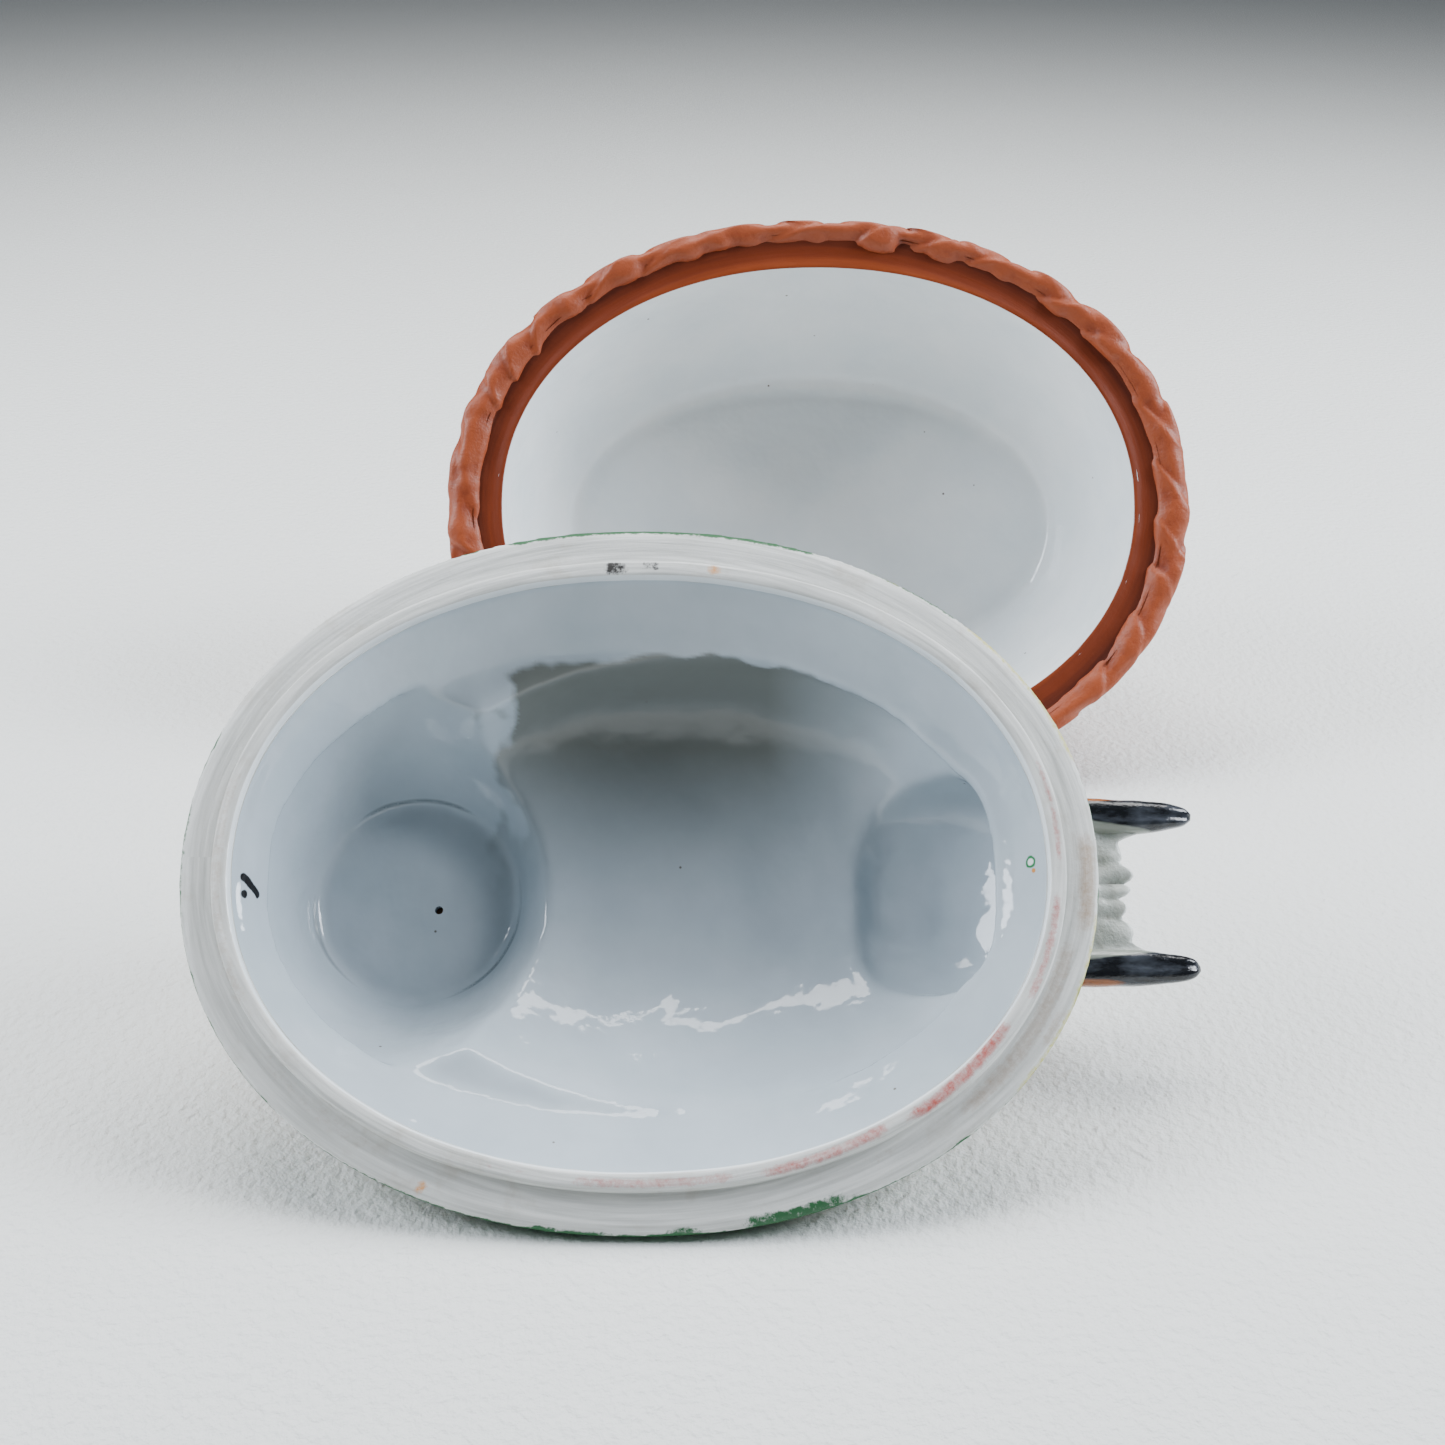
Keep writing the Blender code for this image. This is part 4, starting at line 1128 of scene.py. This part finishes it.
def two_sheets(name, columns, rows, point):
    """Closed mesh of a front and a back sheet; point gives a place for front, u and v."""
    points = [point(front, i / columns, j / rows) for front in (True, False)
              for i in range(columns + 1) for j in range(rows + 1)]
    step = rows + 1
    count = (columns + 1) * step
    faces = []
    for a in (i * step + j for i in range(columns) for j in range(rows)):
        faces.append((a, a + step, a + step + 1, a + 1))
        faces.append(tuple(count + k for k in faces[-1]))
    border = [i * step for i in range(columns)] + [columns * step + j for j in range(rows)]
    border += [i * step + rows for i in range(columns, 0, -1)] + list(range(rows, 0, -1))
    for a, b in zip(border, border[1:] + border[:1]):
        faces.append((a, b, count + b, count + a))
    return mesh_object(name, points, faces)


def make_wings(material):
    """Folded wings: three courses of long feathers, each course lying under the one before."""
    for node, name, side in (("wing_left", "left_wing", -1), ("wing_right", "right_wing", 1)):

        def point(front, u, v):
            x = (-35 + 127 * u) * MM
            spread = sin(pi * (0.14 + 0.72 * u)) ** 0.7
            middle = WING_LOW + (WING_HIGH - WING_LOW) * (0.46 + 0.04 * u)
            height = middle + (v - 0.5) * (WING_HIGH - WING_LOW) * spread
            course = u * 3 + 0.25 * sin(pi * v)
            quill = abs(((v * 7 + 0.5 * int(course)) % 1) - 0.5) * 2
            step = (course % 1) * 0.9 + 0.5 * (1 - quill ** 2)
            edge = min(min(v, 1 - v, u, 1 - u) * 9, 1.0) ** 0.5
            swell = (1.2 + 0.9 * step) * MM * edge if front else -1.2 * MM
            return x, side * (body_side(x, height, side) + swell), height + 0.4 * swell

        piece = two_sheets(name, 90, 40, point)
        # The crest value drives painted shade between the feather courses and a painted highlight
        # on their raised edges.
        store(piece, "crest", relief(piece, 3))
        smooth_shade(piece, 60)
        settle(piece, LID, "lid", "wing_glaze", material, node)


TIP_STATIONS = (
    # place along X, middle across, half width and half height, in millimetres
    (119.5, 25.1, 6.2, 6.0), (126, 25.1, 6.2, 6.1), (135, 25.0, 6.1, 5.9), (148, 24.9, 5.9, 5.4),
    (158, 24.9, 5.5, 4.9), (166, 25.0, 4.9, 4.4), (172, 25.0, 4.2, 3.8), (176.5, 25.0, 3.0, 2.7),
    (178.8, 25.0, 1.0, 1.0),
)


def make_wing_tips(material):
    """The two dark flight feathers that pass the tail, blunt and lumpy under the glaze."""
    turn = 2 * pi * np.arange(40) / 40
    wide_way, tall_way = (np.sign(wave) * np.abs(wave) ** 0.8
                          for wave in (np.cos(turn), np.sin(turn)))
    for node, name, side in (("wing_tip_left", "left_flight_feather", -1),
                             ("wing_tip_right", "right_flight_feather", 1)):
        low, high, middle = box_of(node)
        rings = [np.column_stack((np.full(40, x * MM), side * (across + wide * wide_way) * MM,
                                  middle[2] + tall * tall_way * MM))
                 for x, across, wide, tall in TIP_STATIONS]
        piece = loft(name, between(rings, 4))
        points = coords(piece)
        points += normals(piece) * (wobble(points, 9 * MM, 13) * 0.55 * MM)[:, None]
        groove = np.exp(-((points[:, 1] * side / MM - 24.5) / 1.2) ** 2)
        points[:, 2] += groove * (points[:, 2] < middle[2]) * 0.8 * MM
        points = np.clip(points, low, high)
        set_coords(piece, points)
        along, out = points[:, 0] / MM, points[:, 1] * side / MM
        rust = np.clip((out - 28.3) / 1.6, 0, 1) * np.clip((158 - along) / 10, 0, 1)
        grey = np.clip((27.2 - (along - 115) * 0.13 - out) / 1.6, 0, 1)
        store(piece, "outer", rust)
        store(piece, "inner", grey * np.clip((170 - along) / 6, 0, 1))
        smooth_shade(piece, 70)
        settle(piece, LID, "lid", "black_glaze", material, node)


def make_tail(material):
    """Short tail feathers between the flight feathers: a thin web with a deeply scalloped end."""
    low, high, middle = box_of("tail")

    def point(front, u, v):
        v = 2 * v - 1
        y = v * 21.5 * MM
        lobe = (2.5 * (v / 0.8 + 1) + 0.22 * sin(5 * v)) % 1 * 2 - 1
        scallop = (1 - lobe * lobe) ** 0.5
        web = max(abs(v) - 0.76, 0) / 0.24
        scalloped = 4.6 * scallop * (1 - web) + 3.0 * (1 - v * v) - 1.5 * sin(7 * v)
        reach = (150 + scalloped + 17 * web) * MM
        x = low[0] + (reach - low[0]) * u
        course = 1.1 if u < 0.42 + 0.14 * (1 - scallop) else 0.0
        lump = noise.noise(Vector((x / (7 * MM), y / (6 * MM), 3.0)))
        thick = (3.0 - 1.3 * u) * MM * (1 - 0.35 * (1 - scallop)) * (0.35 if u == 1 else 1)
        rise = thick * 0.8 + (lump + 0.9 * scallop * u + course) * MM
        z = middle[2] + (rise if front else -rise)
        return x, y, min(max(z, low[2]), high[2])

    piece = two_sheets("tail_feathers", 60, 36, point)
    # The crest value drives painted shade in the tail's hollows and a painted highlight on its
    # lumps.
    store(piece, "crest", relief(piece, 3))
    smooth_shade(piece, 60)
    settle(piece, LID, "lid", "tail_glaze", material, "tail")


def green_glaze():
    """Copper-green glaze, pooled dark on the blades and brushed over with yellow at the edges."""
    material, tree = new_material("copper_green_leaf_glaze")
    base = coat(tree, srgb("0F3A1E"), "2A7A3C", patches(tree, 12), 0.35, 0.7)
    base = coat(tree, base, "C2B83C", stored(tree, "edge", patches(tree, 6), 0.5), 1.05, 1.3)
    return finish(material, base, 0.16, ((patches(tree, 4), 0.3),))


def plumage_glaze():
    """Brushed brown underglaze with pale feather edges and dark ribs, under a clear glaze."""
    material, tree = new_material("brushed_plumage_under_clear_glaze")
    brush = patches(tree, 10, 5.0)
    base = coat(tree, srgb("8A6040"), "B58A5E", brush, 0.3, 0.7)
    base = coat(tree, base, "E3D6BE", stored(tree, "crest", brush, 0.25), 0.92, 1.08)
    base = coat(tree, base, "4A3222", stored(tree, "rib"), most=0.7)
    barbs = patches(tree, 2.5, stretch=(0.4, 1, 1))
    return finish(material, base, 0.18, ((barbs, 0.25),))


def head_glaze():
    """Brown crown and cheeks with a pale streak over each eye, painted wet under clear glaze."""
    material, tree = new_material("painted_head_under_clear_glaze")
    brush = patches(tree, 6, 5.0, stretch=(0.5, 1, 1))
    base = coat(tree, srgb("6E482C"), "A67850", brush, 0.3, 0.7)
    base = coat(tree, base, "E6DAC4", stored(tree, "streak"), 0.3, 0.7)
    base = coat(tree, base, "D8B070", stored(tree, "socket"), 0.3, 0.8)
    return finish(material, base, 0.18, ((brush, 0.3),))


def horn_glaze():
    """Ochre glaze, thinner and darker in patches, as it runs off a small sharp form."""
    material, tree = new_material("ochre_beak_glaze")
    base = coat(tree, srgb("C08A30"), "8E5E22", patches(tree, 5), 0.3, 0.7)
    return finish(material, base, 0.2, ((patches(tree, 3), 0.1),))


def bead_glaze():
    """Near-black manganese glaze, thick and wet-looking, with a brown cast where it is thinner."""
    material, tree = new_material("manganese_black_bead_glaze")
    base = coat(tree, srgb("100D0B"), "2A1A10", patches(tree, 3), 0.4, 0.8)
    return finish(material, base, 0.05)


def feather_black():
    """Cobalt-black brushed on thick, rust at the outer side and grey-green at the inner one."""
    material, tree = new_material("brushed_cobalt_black_under_glaze")
    brush = patches(tree, 4, 5.0, stretch=(0.35, 1, 1))
    base = coat(tree, srgb("15171B"), "4A4F58", brush, 0.45, 0.75)
    base = coat(tree, base, "9A5A30", stored(tree, "outer", brush, 0.4), 0.6, 0.95)
    base = coat(tree, base, "8E948C", stored(tree, "inner", brush, 0.4), 0.5, 0.85)
    return finish(material, base, 0.16, ((brush, 0.4), (patches(tree, 2), 0.15)))


STROKES = (
    # colour, radius of the dot in millimetres, and its places in the lid's frame
    ("1A1A1C", 1.15, (
        (-121.6, 4.6, 4.5), (-121, 5.3, 5.3), (-120.4, 6.0, 6), (-119.8, 6.8, 7),
        (-119.3, 7.6, 8), (-118.8, 8.3, 8.8), (-118.4, 9.0, 9.5), (-121.0, 9.8, 4.5))),
    ("2E7A48", 1.8, ((119.6, -2, 5.4),)),
    ("E4EAEA", 1.0, ((119.6, -2, 5.4),)),
    ("C98A4A", 0.6, ((119.9, 0.8, 4.2),)),
)


def marked_glaze(piece):
    """The white glaze of the lid's inside over the painter's strokes, in a greyer tone than the
    bowl's same glaze as painted shade, with more painted shade on the far wall and round the neck's
    floor.
    """
    # Painted shade: the lid's inside has the same white glaze as the bowl, given a darker grey
    # here.
    material = white_glaze("shaded_white_glaze_with_painted_marks", "B9C4CB", "ACB8C0")
    tree = material.node_tree
    shader = tree.nodes["Principled BSDF"]
    place = add(tree, "ShaderNodeTexCoord", out="Object")
    shake = add(tree, "ShaderNodeTexNoise", {"Vector": place, "Scale": 300.0}, "Color")
    place = add(tree, "ShaderNodeVectorMath", (shake, (HAND_SHAKE,) * 3, place),
                operation="MULTIPLY_ADD")
    colour = shader.inputs["Base Color"].links[0].from_socket
    thin = stored(tree, "thin")
    # Painted shade: dark grey over the far wall of the body, where shade falls.
    colour = coat(tree, colour, "6C6F69", thin, most=0.95)
    # Painted shade along the crease round the neck's floor.
    colour = coat(tree, colour, "5E6666", stored(tree, "neck_crease_shade"), 0.45, 1.0, 0.75)
    for tint, radius, places in STROKES:
        for spot in places:
            found = piece.closest_point_on_mesh(Vector(spot) * MM)[1]
            at = LID @ found + Vector((HAND_SHAKE,) * 3) / 2
            far = add(tree, "ShaderNodeVectorMath", (place, at), "Value", operation="DISTANCE")
            colour = coat(tree, colour, tint, far, (radius + STROKE_BLEED) * MM, radius * MM)
    roughness = add(tree, "ShaderNodeMapRange", (thin, 0.0, 1.0, GLAZE_ROUGHNESS, 0.2))
    feed(tree, shader, {"Base Color": colour, "Roughness": roughness})
    return material


def pale_floor():
    """Matte powder-coated table top with a fine leathery texture."""
    material, tree = new_material("powder_coated_table")
    base = coat(tree, srgb("E4E6E3"), "EAECE9", patches(tree, 300))
    return finish(material, base, 0.6, ((patches(tree, 3.5, 3.0), 1.3),))


def make_floor():
    corners = [(-4, -4, 0), (4, -4, 0), (4, 4, 0), (-4, 4, 0)]
    floor = mesh_object("table_top", corners, [(0, 1, 2, 3)])
    floor.data.materials.append(pale_floor())


LIGHTS = (
    # name, place, target, size, power and colour
    ("overhead_left", (-0.45, 0.65, 1.65), (0, 0, 0.05), (0.75, 0.9), 22, "FFFFFF"),
    ("overhead_right", (0.5, 0.75, 1.6), (0, 0, 0.05), (0.75, 0.8), 20, "FFFFFF"),
    ("left_window", (-1.35, -0.1, 0.95), (0, 0.05, 0.08), (0.7, 0.8), 33, "F0F6FF"),
    ("right_window", (1.35, 0.0, 0.95), (0, 0.05, 0.08), (0.7, 0.8), 45, "F0F6FF"),
)
CAMERA_PLACE = (-0.014, -0.6007, 0.377)
CAMERA_DOWN, CAMERA_ROLL = radians(27.92), radians(0.35)


def make_lights():
    for name, place, target, size, power, colour in LIGHTS:
        data = bpy.data.lights.new(name, "AREA")
        data.shape = "RECTANGLE"
        data.size, data.size_y = size
        data.energy = power
        data.color = srgb(colour)[:3]
        light = bpy.data.objects.new(name, data)
        bpy.context.collection.objects.link(light)
        turn = (Vector(target) - Vector(place)).to_track_quat("-Z", "Y")
        light.matrix_world = Matrix.Translation(place) @ turn.to_matrix().to_4x4()
    world = bpy.data.worlds.new("studio")
    bpy.context.scene.world = world
    world.use_nodes = True
    background = world.node_tree.nodes["Background"]
    feed(world.node_tree, background, {"Color": srgb("C9D2DB"), "Strength": 0.17})


def make_camera():
    data = bpy.data.cameras.new("studio_camera")
    data.lens = 45.17
    camera = bpy.data.objects.new("studio_camera", data)
    bpy.context.collection.objects.link(camera)
    lean = Matrix.Rotation(pi / 2 - CAMERA_DOWN, 4, "X") @ Matrix.Rotation(CAMERA_ROLL, 4, "Z")
    camera.matrix_world = Matrix.Translation(CAMERA_PLACE) @ lean
    bpy.context.scene.camera = camera


glaze = white_glaze("clear_glaze_run_over_white_slip", "EFF3F4", "E3EAED")
biscuit = bare_biscuit()
plumage = plumage_glaze()

make_bowl_body(glaze)
make_rim_ledge(ledge_paint())
make_rim_frill(painted(
    "terracotta_underglaze_on_pinched_clay", "380F03", "742A0C", "95431F", 0.5, 0.4))
make_woven_jacket(painted(
    "terracotta_underglaze_on_basketwork", "54220F", "9A5238", "BC7A58", 0.5, 0.3))
make_foot_ring(biscuit)
make_lid_shell(glaze, biscuit, plumage)
make_flange(biscuit, glaze)
make_leaf_border(green_glaze())
make_head(head_glaze())
make_beak(horn_glaze())
make_eyes(bead_glaze())
make_wings(painted("rust_brown_wing_glaze", "5A3018", "9A6238", "D8B88A", 0.2, 0.2))
make_wing_tips(feather_black())
make_tail(painted("grey_green_tail_glaze", "6E665C", "A4A9A3", "CDD1CC", 0.3, 0.5))
make_floor()
make_lights()
make_camera()
